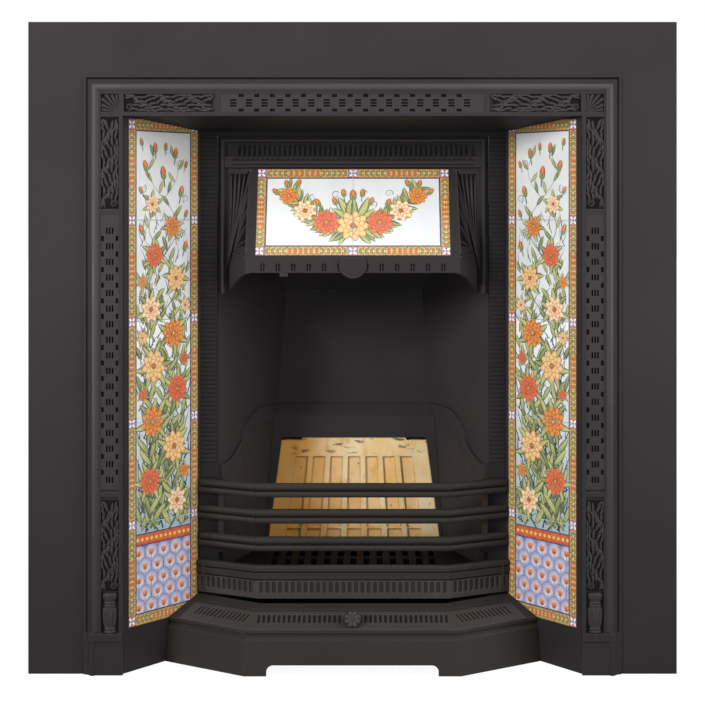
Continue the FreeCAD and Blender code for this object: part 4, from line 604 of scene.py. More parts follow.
@dataclass(frozen=True)
class Metal:
    """Plated steel of the bolts, pins and screws."""

    ROUNDING = 0.3
    MOTTLE = Cloud(160.0, 4.0, 0.35, 0.65)
    POLISH = Cloud(300.0, 3.0, to_low=0.28, to_high=0.5)
    name: str
    dark: str
    light: str

    def material(self) -> Material:
        """Builds the finish.

        Returns:
            The material.
        """
        recipe = Recipe(self.name)
        normal, _ = recipe.edges(self.ROUNDING)
        colour = recipe.blend(recipe.cloud(self.MOTTLE), self.dark, self.light)
        return recipe.surface(colour, recipe.cloud(self.POLISH), normal, Metallic=0.9)


@dataclass(frozen=True)
class Fireclay:
    """Buff fired clay, cream in its middle, with painted shade towards its left end, along its edges and on
    its sunk floors, and scorch marks near its head.
    """

    ROUNDING = 2.8
    MOTTLE = Cloud(24.0, 5.0, 0.36, 0.62)
    DRIFT = Cloud(11.0, 4.0, to_low=-0.05, to_high=0.05)
    EDGE_PATCHES = Cloud(46.0, 4.0, 0.35, 0.65, 0.15, 0.8, (1, 1, 0.5))
    PATCH = Cloud(70.0, 5.0, 0.56, 0.7, 0.0, 0.55, (1, 1, 0.6))
    STAIN = Cloud(75.0, 4.0, 0.58, 0.68, 0.0, 0.85, (0.5, 1, 1.6))
    SPECK = Cloud(120.0, 3.0, 0.71, 0.76, 0.0, 0.8)
    SHADED_END = (-0.11, 0.0, 0.9, 0.0)
    SUNK_SHADE = (0.1512, 0.1535, 0.0, 0.32)
    HEAD = (0.272, 0.284, 0.0, 1.0)
    name: str
    edge_shade: str
    dark: str
    light: str
    cream: str
    scorch: str

    def material(self) -> Material:
        """Builds the finish.

        Returns:
            The material.
        """
        recipe = Recipe(self.name)
        normal, edge = recipe.edges(self.ROUNDING)
        across, depth, height = recipe.add("SeparateXYZ", {0: recipe.place})
        colour = recipe.blend(recipe.cloud(self.MOTTLE), self.light, self.cream)
        uneven = recipe.combine("ADD", across, recipe.cloud(self.DRIFT))
        head = recipe.ranged(height, *self.HEAD)
        for share, code in (
                # Painted shade: darker towards the left end, where the arch leg's shadow falls.
                (recipe.ranged(uneven, *self.SHADED_END), self.dark),
                # Painted shade: browner along edges and creases, broken up by noise.
                (recipe.combine("MULTIPLY", edge, recipe.cloud(self.EDGE_PATCHES)), self.edge_shade),
                # Painted shade: darker on the floors of the sunk flutes.
                (recipe.ranged(depth, *self.SUNK_SHADE), self.dark),
                (recipe.cloud(self.PATCH), self.dark),
                (recipe.combine("MULTIPLY", recipe.cloud(self.STAIN), head), self.scorch),
                (recipe.cloud(self.SPECK), self.scorch)):
            colour = recipe.blend(share, colour, code)
        normal = recipe.bump(700.0, 4.0, strength=0.5, distance=0.3, normal=normal)
        normal = recipe.bump(60.0, 4.0, strength=0.35, distance=1.2, normal=normal)
        return recipe.surface(colour, 0.85, normal, Specular_IOR_Level=0.3)


@dataclass(frozen=True)
class Glaze:
    """Clear glossy glaze over a white tile body, or over paint read from the piece's own colours."""

    MOTTLE = Cloud(22.0, 4.0, 0.35, 0.65)
    WASH = Cloud(260.0, 3.0, to_high=0.1)
    POLISH = Cloud(30.0, 3.0, to_low=0.1, to_high=0.2)
    name: str
    ground: str
    shade: str
    painted: bool = False

    def material(self) -> Material:
        """Builds the finish.

        Returns:
            The material.
        """
        recipe = Recipe(self.name)
        ground = recipe.add("VertexColor", layer_name="paint")["Color"] if self.painted else self.ground
        cloud = self.WASH if self.painted else self.MOTTLE
        colour = recipe.blend(recipe.cloud(cloud), ground, self.shade)
        normal = recipe.bump(28.0, 2.0, strength=0.12, distance=0.5)
        return recipe.surface(colour, recipe.cloud(self.POLISH), normal, Coat_Weight=0.4, Coat_Roughness=0.05)


class Finishes:
    """All finishes of the fireplace, made once."""

    SOOTED = ("firebox_left_wall", "firebox_right_wall", "firebox_back_wall", "throat_plate", "damper_flap",
              "left_liner_cheek", "right_liner_cheek", "back_liner", "hood_back_plate", "ashpit_floor")
    BROWNED = ("front_bars", "lower_fret", "ashpit_cover", "cover_knob")
    # Painted deep shade: the grate and the ash pan lie in shadow and take the darkest copy of the iron.
    HOLLOW = ("bottom_grate", "ash_pan")
    # Painted shade: the arch plate and the header soffit lie in shadow and take the darker copy of the iron.
    SHADED = ("arch_plate", "header_soffit")

    def __init__(self) -> None:
        """Makes the materials. An iron's numbers are its roughness, its rounding, its grain and its gloss;
        foot is the share of painted shade at the floor.
        """
        irons = (
            Iron("blacked_iron", "2b2829", "312e2f", "4c4849", 0.5, 0.64, 0.9, 0.12, 0.1, foot=0.45),
            # The relief copies are a little lighter than the plain iron, with paler edges, so that the relief
            # reads as lit: painted highlight.
            Iron("blacked_iron_relief", "2d292a", "353132", "5a5657", 0.44, 0.58, 0.5, 0.06, 0.16, foot=0.45),
            # Painted highlight over wear from rubbing: the lighter copy for the frame's bead, which catches
            # the top light.
            Iron("rubbed_iron", "363132", "3e393a", "625d5e", 0.42, 0.54, 0.6, 0.06, 0.2, foot=0.75),
            Iron("fire_browned_iron", "25221f", "2b2825", "474340", 0.46, 0.6, 0.9, 0.12, 0.12),
            # Painted highlight: the fire-browned relief is lighter than the fire-browned iron.
            Iron("fire_browned_relief", "322e2b", "3e3935", "5d5751", 0.46, 0.6, 0.5, 0.06, 0.14),
            Iron("sooted_iron", "312e2f", "3a3637", "4a4647", 0.6, 0.8, 0.9, 0.12, 0.1),
            # Painted deep shade: the darkest copy of the iron, for sheets and lines put where shade falls and
            # for parts in shadow.
            Iron("hollow_iron", "110f0f", "181616", "211e1e", 0.65, 0.85, 0.3, 0.05, 0.05),
            # Painted shade: a darker copy of the iron for parts that lie in shadow.
            Iron("shaded_iron", "1f1d1e", "262425", "3f3c3d", 0.52, 0.66, 0.7, 0.1, 0.08),
            Iron("black_sheet", "232324", "2b2b2c", "444444", 0.35, 0.5, 0.4, 0.03, 0.3))
        (self.iron, self.ornament, self.rubbed, self.warm, self.worn, self.hearth, self.recess, self.arch,
         self.sheet) = (finish.material() for finish in irons)
        self.zinc = Metal("zinc_steel", "8b8d8f", "b4b5b3").material()
        self.clay = Fireclay("buff_fireclay", "8a531d", "e0a04a", "f7cf8c", "ffe6b6", "4a3522").material()
        self.tile = Glaze("tile_glaze", "e6e7e5", "dbdfe0").material()
        self.paint = Glaze("painted_glaze", "ffffff", "ffffff", painted=True).material()

    def dress_nodes(self) -> None:
        """Gives every casting, tile and fixing of the frame its finish."""
        by_slot = {"cast_iron": self.iron, "glazed_tile": self.tile, "fireclay": self.clay,
                   "black_sheet": self.sheet, "zinc_steel": self.zinc}
        by_name = {**dict.fromkeys(self.SOOTED, self.hearth), **dict.fromkeys(self.BROWNED, self.warm),
                   **dict.fromkeys(self.HOLLOW, self.recess), **dict.fromkeys(self.SHADED, self.arch)}
        for name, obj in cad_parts.items():
            given = obj.material_slots[0].material.name.split(".")[0]
            finish = by_name.get(name, by_slot[given])
            for material_slot in obj.material_slots:
                material_slot.material = finish
            LOG.info("%s: %s", name, finish.name)


# ------------------------------------------------------- ornament castings
@dataclass(frozen=True)
class Checker:
    """Pierced checker strip: barred squares down the middle and small notches along both edges."""

    pitch: float = 23.1
    thickness: float = 2.3
    bar: Place = (9.6, 2.7)
    bar_step: float = 4.2
    notch: Place = (7.8, 4.3)
    notch_offset: float = 10.75
    soft: float = 0.3

    def hole(self, s: float, t: float, size: Place) -> Piece:
        """Returns a cutter of this length and width about a place on the strip."""
        length, width = size[0] / 2, size[1] / 2
        return block("hole", (s - length, t - width, -1), (s + length, t + width, self.thickness + 1))

    def cast(self, name: str, start: float, end: float, half: float, first: float, count: int) -> Piece:
        """Casts a strip flat, from start to end along it.

        Args:
            name: the piece's name.
            start: where the strip starts, in millimetres.
            end: where it ends.
            half: half its width.
            first: place of the first barred square.
            count: how many barred squares there are.

        Returns:
            The strip.
        """
        strip = block(name, (start, -half, 0), (end, half, self.thickness))
        cutters = []
        for index in range(count):
            s = first + index * self.pitch
            cutters += [self.hole(s, row * self.bar_step, self.bar) for row in (-1, 0, 1)]
            if index < count - 1:
                s += self.pitch / 2
                cutters += [self.hole(s, side * self.notch_offset, self.notch) for side in SIDES]
        return crisp(cut(strip, cutters), self.soft)


@dataclass(frozen=True)
class Flutes:
    """Strip pierced by upright flutes, with round or square heads."""

    pitch: float
    width: float
    low: float
    high: float
    thickness: float
    round_top: bool = True
    round_foot: bool = False
    soft: float = 0.35

    def cast(self, name: str, low: Place, high: Place, margin: float = 4.0, mitres: Place = (0, 0)) -> Piece:
        """Casts a fluted strip flat.

        Args:
            name: the piece's name.
            low: the strip's lowest corner in millimetres.
            high: its highest corner.
            margin: plain iron kept at each end.
            mitres: how far the start and the end lean in for each millimetre up.

        Returns:
            The strip.
        """
        strip = block(name, (*low, 0), (*high, self.thickness))
        start, end = low[0], high[0]
        count = int((end - start - 2 * margin - self.width) // self.pitch) + 1
        first = (start + end) / 2 - (count - 1) * self.pitch / 2
        cut(strip, [self.cutter(first + index * self.pitch) for index in range(count)])
        for vertex in strip.data.vertices:
            for place, mitre in zip((start, end), mitres):
                if abs(vertex.co.x / MM - place) < 0.01:
                    vertex.co.x += mitre * vertex.co.y
        return crisp(strip, self.soft)

    def cutter(self, s: float) -> Piece:
        """Shapes one cutter: a round bar whose two halves are drawn apart, and flattened for a square end.

        Args:
            s: its place along the strip in millimetres.

        Returns:
            The cutter.
        """
        radius = self.width / 2
        ends = ((self.low + radius * self.round_foot, self.round_foot),
                (self.high - radius * self.round_top, self.round_top))
        pick()
        bpy.ops.mesh.primitive_cylinder_add(vertices=16, radius=radius * MM, depth=(self.thickness + 2) * MM,
                                            location=Vector((s, 0, self.thickness / 2)) * MM)
        tool = settle(named("flute"))
        for vertex in tool.data.vertices:
            t = vertex.co.y
            middle, is_round = ends[t >= -1e-7]
            vertex.co.y = middle * MM + t * is_round
            if not is_round:
                vertex.co.x = (s + math.copysign(radius, vertex.co.x - s * MM)) * MM
        if not (self.round_top and self.round_foot):
            with editing(tool):
                bpy.ops.mesh.remove_doubles(threshold=0.01 * MM)
                bpy.ops.mesh.dissolve_degenerate(threshold=0.01 * MM)
                bpy.ops.mesh.normals_make_consistent(inside=False)
        return tool


@dataclass(frozen=True)
class Acanthus:
    """Waving rows of small leaves that start beside a curl."""

    curl_place: Place = (8.0, 7.2)
    curl_radius: float = 5.6
    curl_start: float = -100.0
    curl_turn: float = 560.0
    wave: float = 2.6
    wave_length: float = 44.0
    lean: float = 5.2
    leaf: float = 13.5
    overlap: float = 0.76
    edge: float = 1.4

    def curl(self, half: float) -> Strand:
        """Draws the curl at the start of a run.

        Args:
            half: half the run's width in millimetres.

        Returns:
            Its points as (s, t, half width).
        """
        points = []
        for u in (step / 21 for step in range(22)):
            angle = math.radians(self.curl_start + self.curl_turn * u)
            radius = self.curl_radius * (1 - 0.74 * u)
            points.append((self.curl_place[0] + radius * math.cos(angle),
                           self.curl_place[1] - half + radius * math.sin(angle), 1.25 - 0.45 * u))
        return points

    def run(self, length: float, half: float) -> list[list]:
        """Draws a run.

        Args:
            length: its length in millimetres.
            half: half its width.

        Returns:
            Its strands.
        """
        paths = [self.curl(half)]
        for row in range(-2, 3):
            rest = row * (half - 2.4) / 2
            start = 1.6 if row > 0 else 11.5 + 1.5 * (row + 2)
            index = 0
            while start < length - 9:
                span = min(self.leaf + 3.0 * math.sin(row * 2.1 + index * 1.3), length - 1.5 - start)
                lean = self.lean * math.sin(start / 6.5 + row * 1.7)
                leaf = []
                for u in (step / 9 for step in range(10)):
                    s = start + span * u
                    wave = self.wave * math.sin(2 * math.pi * s / self.wave_length + row * 0.5)
                    t = rest + wave + lean * u * u
                    width = 0.3 + 2.2 * math.sin(math.pi * (0.08 + 0.88 * u)) ** 0.7
                    leaf.append((s, max(self.edge - half, min(half - self.edge, t)), width))
                paths.append(leaf)
                start += span * self.overlap
                index += 1
        return paths


def fan_leaf(root: Place, tip: Place, half: float, bend: float = 0.0, rise: float = 1.0,
             swell: float = 1.5) -> Strand:
    """Draws one leaf of a fan, thin at its root and tip.

    Args:
        root: its first point in millimetres.
        tip: its last point.
        half: half its width at the widest.
        bend: how far its middle bows aside.
        rise: power that holds its climb back near the root.
        swell: power that moves its widest place towards the tip.

    Returns:
        Its points as (s, t, half width).
    """
    path = []
    for u in (index / 12 for index in range(13)):
        s = between(root[0], tip[0], u) - bend * math.sin(math.pi * u)
        width = between(0.5, half, math.sin(math.pi * u ** swell) ** 0.8)
        path.append((s, between(root[1], tip[1], u ** rise), width))
    return path


@dataclass
class Ornament:
    """A group of castings in the fireplace's finishes."""

    finishes: Finishes

    def grounds(self, stem: str, low: Place, high: Place, facet: Facet, foot: Place | None = None) -> None:
        """Lays a dark sheet of painted shade under a right-hand relief and its left-hand twin, as ground
        does.
        """
        finish_pair(ground("right_" + stem, low, high, facet, foot), self.finishes.recess)


@dataclass
class Surround(Ornament):
    """Ornament of the plate's raised frame: fans, foliage, checkers and the baluster feet."""

    BALUSTER = ((9.4, 63.0), (9.6, 65.5), (7.6, 66.5), (9.0, 68.0), (9.0, 69.5), (7.4, 70.6), (8.4, 74.0),
                (9.8, 84.0), (10.2, 92.0), (9.4, 99.0), (8.0, 101.0), (9.6, 102.4), (9.6, 104.0),
                (7.8, 105.2), (9.4, 106.6), (9.4, 108.2), (7.6, 109.4), (8.4, 111.0), (10.8, 114.0),
                (11.2, 118.0), (10.4, 121.0), (7.0, 122.6))
    band_depth: float = -6.0
    band_half: float = 13.5
    ground_half: float = 13.0
    pilaster_x: float = 360.0
    pilaster_feet: tuple[float, float, float, float] = (63.0, 124.0, 275.1, 691.6)
    frieze_z: float = 849.0
    frieze_offset: float = -3.4
    frieze_checker: float = 196.4
    pilaster_checker: float = 412.4
    foliage_length: float = 135.5
    foliage_end: float = 339.2

    def pilaster(self, base: float) -> Facet:
        """Returns the right pilaster's sunk band, with s upwards from a height."""
        return Facet(at(self.pilaster_x, self.band_depth, base), UP, -RIGHT)

    def band(self, stem: str, start: float, end: float, facet: Facet) -> None:
        """Lays the dark sheets of painted shade under a pair of reliefs between two places along a band."""
        self.grounds(stem + "_ground", (start, -self.ground_half), (end, self.ground_half), facet)

    def build(self) -> None:
        """Builds all ornament of the plate."""
        frieze = front(self.band_depth, 0, self.frieze_z)
        feet = [self.pilaster(base) for base in self.pilaster_feet]
        self.checkers(frieze, feet[2])
        self.foliage(frieze, feet[3], feet[1])
        self.fans()
        self.baluster()
        self.band("baluster", 0.5, 60.5, feet[0])

    def checkers(self, frieze: Facet, column: Facet) -> None:
        """Casts the three checker strips.

        Args:
            frieze: the frieze's band, with s from the centre line.
            column: the right pilaster's band from the strip's foot.
        """
        pattern = Checker()
        reach, half, count = self.frieze_checker, self.ground_half, 16
        first = self.frieze_offset - (count - 1) * pattern.pitch / 2
        strip = pattern.cast("frieze_checker", -reach, reach, self.band_half, first, count)
        finish_piece(placed(strip, frieze), self.finishes.ornament)
        # Painted shade: a dark sheet behind the checker's holes.
        sheet = ground("frieze_checker_ground", (-196, -half), (196, half), frieze)
        finish_piece(sheet, self.finishes.recess)
        strip = pattern.cast("right_pilaster_checker", 0, self.pilaster_checker, self.band_half, 14.6, 17)
        finish_pair(placed(strip, column), self.finishes.ornament)
        self.band("pilaster_checker", 0.5, 412, column)

    def foliage(self, frieze: Facet, upper: Facet, lower: Facet) -> None:
        """Casts the six foliage runs.

        Args:
            frieze: the frieze's band.
            upper: the right pilaster's band from the upper run's foot.
            lower: the same from the lower run's foot.
        """
        run = Acanthus().run(self.foliage_length, self.band_half - 0.4)
        across = [[(self.foliage_end - s, t, w) for s, t, w in strand] for strand in run]
        upwards = [[(s, -t, w) for s, t, w in strand] for strand in run]
        for stem, paths, face, start, end in (("frieze_foliage", across, frieze, 207.5, 339),
                                              ("upper_foliage", upwards, upper, 0.5, 136),
                                              ("lower_foliage", upwards, lower, 0.5, 136)):
            finish_pair(strands("right_" + stem, paths, face, 1.1), self.finishes.ornament)
            self.band(stem, start, end, face)

    def fans(self) -> None:
        """Casts the ribbed corner fans."""
        size = 2 * self.band_half
        rays = []
        for index in range(6):
            angle = math.radians(7.5 + index * 15)
            reach = size / max(math.cos(angle), math.sin(angle)) - 1.6
            rays.append([(between(2, reach, u) * math.cos(angle), between(2, reach, u) * math.sin(angle),
                          between(0.5, 3.0, u)) for u in (i / 8 for i in range(9))])
        face = front(self.band_depth, self.pilaster_x - self.band_half, self.frieze_z - self.band_half)
        fan = strands("right_corner_fan", rays, face, 0.9)
        # Painted shade: a dark sheet behind the fan's rays.
        self.grounds("corner_fan_ground", (0.5, 0.5), (size - 0.5, size - 0.5), face)
        finish_pair(fan, self.finishes.ornament)

    def baluster(self) -> None:
        """Turns the fluted balusters at the feet of the pilasters, as half rounds on their band."""
        centre = at(self.pilaster_x, self.band_depth, 0)
        (radius, foot), *_ = self.BALUSTER
        pick()
        bpy.ops.mesh.primitive_circle_add(vertices=40, radius=radius * MM, fill_type="NGON",
                                          location=at(self.pilaster_x, self.band_depth, foot))
        body = settle(named("right_baluster"))
        with editing(body):
            for (r0, z0), (r1, z1) in zip(self.BALUSTER, self.BALUSTER[1:]):
                bpy.ops.mesh.extrude_region_move(TRANSFORM_OT_translate={"value": (0, 0, (z1 - z0) * MM)})
                bpy.ops.transform.resize(value=(r1 / r0, r1 / r0, 1),
                                         center_override=(centre.x, centre.y, z1 * MM))
            bpy.ops.mesh.select_all(action="SELECT")
            bpy.ops.mesh.normals_make_consistent(inside=False)
        for vertex in body.data.vertices:
            offset = vertex.co - centre
            fluted = 71 < vertex.co.z / MM < 100
            ripple = 1 + 0.14 * math.cos(math.atan2(offset.y, offset.x) * 10) * fluted
            vertex.co.x = centre.x + offset.x * ripple
            vertex.co.y = centre.y + offset.y * ripple * 0.5
        finish_pair(smooth(body, 50), self.finishes.ornament)


@dataclass
class Arch(Ornament):
    """Reeded legs of the arch plate."""

    face: float = 131.26
    inner: float = 215.0
    outer: float = 238.0
    bottom: float = 293.4
    top: float = 806.0
    pitch: float = 6.8
    flat: float = 0.4

    def build(self) -> None:
        """Casts the stacked reeds of both legs."""
        count = int((self.top - self.bottom) // self.pitch)
        radius = self.pitch / 2
        place = at((self.inner + self.outer) / 2, self.face, self.bottom + radius)
        pick()
        bpy.ops.mesh.primitive_cylinder_add(vertices=14, radius=radius * 0.96 * MM,
                                            depth=(self.outer - self.inner) * MM, location=place,
                                            rotation=(0, math.pi / 2, 0))
        reed = settle(named("reed"))
        middle = (self.face + FACE_Y) * MM
        for vertex in reed.data.vertices:
            vertex.co.y = between(middle, vertex.co.y, self.flat)
        eased(reed, 0.8, 2, 60)
        heights = [index * self.pitch * MM for index in range(count)]
        reeds = [copied(reed, Matrix.Translation((0, 0, height)), "reed") for height in heights]
        bpy.data.objects.remove(reed)
        # Painted shade: the reeds take the darker copy of the iron.
        finish_pair(joined("right_arch_reeding", reeds), self.finishes.arch)


@dataclass
class Hearth(Ornament):
    """Fluting of the lower fret and slots of the ash-pit cover."""

    fret_corner: float = 149.0
    fret_depth: float = 77.0
    fret_angle: float = 27.6
    fret_reach: float = 104.0
    fret_heights: Place = (94.2, 121.8)
    overlap: float = 0.3
    cover_corner: float = 159.2
    cover_depth: float = -8.0
    cover_angle: float = 33.5
    cover_reach: float = 128.0
    slope_foot: float = 66.0
    slope_rise: float = 25.0
    slope_run: float = 66.0
    slots: Place = (0.4, 44.0)
    slot_ground: Place = (16.0, 40.0)
    beads: tuple[Place, Place] = ((48.0, 1.7), (55.0, 1.1))

    def build(self) -> None:
        """Builds the fret's and the cover's ornament."""
        self.fret()
        self.cover()

    def fret(self) -> None:
        """Casts the three fluted strips of the fret."""
        flutes = Flutes(9.7, 6.0, 102.5, 119.8, 1.7, True, True, 0.8)
        low, high = self.fret_heights
        reach = self.fret_corner + self.overlap
        middle = flutes.cast("fret_fluting", (-reach, low), (reach, high))
        finish_piece(placed(middle, front(self.fret_depth)), self.finishes.worn)
        side = flutes.cast("right_fret_fluting", (-self.overlap, low), (self.fret_reach, high))
        face = Facet(at(self.fret_corner, self.fret_depth, 0), turned(self.fret_angle), UP)
        finish_pair(placed(side, face), self.finishes.worn)

    def cover(self) -> None:
        """Casts the three slotted strips of the cover, with the beads of its slope and the sheets of painted
        shade behind its slots.
        """
        tilt = math.atan2(self.slope_rise, self.slope_run)
        lean = math.tan(math.radians(self.cover_angle / 2)) * math.cos(tilt)
        half, reach = self.cover_corner, self.cover_reach
        flutes = Flutes(7.6, 4.2, 17.5, 38.0, 2.2, False, False)
        up = Vector((0, math.cos(tilt), math.sin(tilt)))
        middle = Facet(at(0, self.cover_depth, self.slope_foot), RIGHT, up)
        along = turned(self.cover_angle)
        rise = Vector((-along.y, along.x, 0)) * math.cos(tilt) + UP * math.sin(tilt)
        side = Facet(at(half, self.cover_depth, self.slope_foot), along, rise)
        for finish, prefix, face, start, end, foot, head, margin, shaded in (
                (finish_piece, "", middle, -half, half, lean, -lean, 15.0, (-145, 145)),
                (finish_pair, "right_", side, 0.0, reach, lean, 0.0, 14.0, (13.5, 116))):
            strip = flutes.cast(prefix + "cover_slots", (start, self.slots[0]), (end, self.slots[1]), margin,
                                (foot, head))
            finish(placed(strip, face), self.finishes.worn, Body.COVER)
            # Painted shade: a sheet in the darker copy of the iron behind the slots.
            sheet = ground(prefix + "cover_ground", (shaded[0], self.slot_ground[0]),
                           (shaded[1], self.slot_ground[1]), face)
            finish(sheet, self.finishes.arch, Body.COVER)
            lines = [straight((start + foot * t, t), (end + head * t, t), width) for t, width in self.beads]
            finish(strands(prefix + "cover_beads", lines, face, 0.9), self.finishes.warm, Body.COVER)


# ----------------------------------------------------- hood and knob relief
@dataclass
class HoodDress(Ornament):
    """Relief of the hood frame and the canopy."""

    LEAVES = (((191.6, 744), 2.2, 0.0), ((185.2, 747), 3.0, 1.6), ((178.0, 748), 3.0, 2.6),
              ((170.4, 747), 2.8, 3.0), ((163.6, 738), 2.2, 2.2))
    LEAF_ROOT = (192.6, 634.0)
    HOOD_BEADS = (((160.4, 753), (194.8, 617), 2.3, 10), ((159.6, 752.4), (196.4, 752.4), 1.6, 6))
    SKIRT_LEAVES = (((6, 22), 2.6), ((17, 48), 3.0), ((29, 76), 3.2), ((41, 104), 3.0), ((51, 126), 2.4))
    SKIRT_ROOT = (55, 10)
    SKIRT_BEADS = (((-6.5, 2.0), (58.0, 142.0), 1.6, 10), ((-8.0, -3.6), (60.0, 0.5), 2.2, 8),
                   ((-6.0, 4.6), (60.0, 7.2), 1.5, 8))
    TAB_BEADS = ((18.9, 1.8), (13.6, 1.0))
    field_depth: float = 138.76
    band_depth: float = 135.8
    band_reach: float = 186.0
    band_heights: Place = (769.0, 792.0)
    skirt_place: tuple[float, float, float] = (166.9, 78.7, 620.9)
    skirt_out: tuple[float, float, float] = (0.916, -0.351, 0.195)
    lip_depth: float = 68.3
    tab_depth: float = 66.0
    tab_height: float = 606.0
    dart_start: float = 20.5
    dart_pitch: float = 23.6
    dart_heights: Place = (596.2, 606.0)
    dash_height: float = 608.6
    dash_half: float = 3.6
    well_shift: float = 1.9
    well_half: float = 1.15
    well_heights: Place = (596.6, 607.4)

    def build(self) -> None:
        """Casts all relief of the hood."""
        flutes = Flutes(7.9, 3.9, 764.0, 790.9, 4.6, soft=0.6)
        low, high = self.band_heights
        band = flutes.cast("hood_fluting", (-self.band_reach, low), (self.band_reach, high))
        # Painted shade: the fluting takes the darker copy of the iron.
        finish_piece(placed(band, front(self.band_depth)), self.finishes.arch)
        self.leaf_panels()
        self.skirts()
        self.lip()

    def leaf_panels(self) -> None:
        """Casts the fanned leaves and the bead beside the canopy."""
        face = front(self.field_depth)
        leaves = [fan_leaf(self.LEAF_ROOT, tip, half, bend) for tip, half, bend in self.LEAVES]
        finish_pair(strands("right_hood_leaves", leaves, face, 1.2), self.finishes.ornament)
        # Painted shade: a dark sheet behind the leaves.
        self.grounds("hood_leaf_ground", (163.5, 640.0), (193.0, 747.0), face, (190.5, 193.0))
        beads = [straight(*bead) for bead in self.HOOD_BEADS]
        finish_pair(strands("right_hood_bead", beads, face, 1.4), self.finishes.ornament)

    def skirts(self) -> None:
        """Casts the relief on the canopy's flared sides."""
        face = facing(at(*self.skirt_place), self.skirt_out)
        paths = [fan_leaf(self.SKIRT_ROOT, tip, half, rise=1.25, swell=1.4)
                 for tip, half in self.SKIRT_LEAVES]
        paths += [straight(*bead) for bead in self.SKIRT_BEADS]
        relief = strands("right_skirt_relief", paths, face, 1.1)
        # Painted shade: a dark sheet behind the skirt's relief.
        self.grounds("skirt_ground", (50.0, 13.0), (53.5, 124.0), face, (4.0, 53.5))
        finish_pair(relief, self.finishes.ornament)

    def lip(self) -> None:
        """Casts the row of darts along the lip with sheets of painted shade beside them, the tab's bead and
        the small lug.
        """
        face = front(self.lip_depth)
        darts, dart_shades = [], []
        half, (low, high) = self.well_half, self.well_heights
        for s in (side * (self.dart_start + self.dart_pitch * index) for side in SIDES for index in range(6)):
            for middle in (s - self.well_shift, s + self.well_shift):
                dart_shades.append(block("well", (middle - half, low, 0.0), (middle + half, high, 0.3)))
            foot, head = ((s, height) for height in self.dart_heights)
            left, right = ((s + reach, self.dash_height) for reach in (-self.dash_half, self.dash_half))
            darts += [straight(foot, head, 1.0, 6, 0.7), straight(left, right, 0.7, 4, 0.5)]
        finish_piece(strands("lip_darts", darts, face, 0.9), self.finishes.ornament)
        # Painted shade: thin dark sheets on either side of each dart.
        finish_piece(placed(joined("lip_wells", dart_shades), face), self.finishes.recess)
        rings = [ring(radius, width, 204, 6.6, 20, self.tab_height) for radius, width in self.TAB_BEADS]
        finish_piece(strands("tab_beads", rings, front(self.tab_depth), 1.0), self.finishes.ornament)
        depth = self.lip_depth + FACE_Y
        lug = block("lip_lug", (-112.0, depth + 0.6, 587.6), (-99.4, depth + 4.0, 594.6))
        finish_piece(eased(lug, 1.2, 3), self.finishes.ornament)


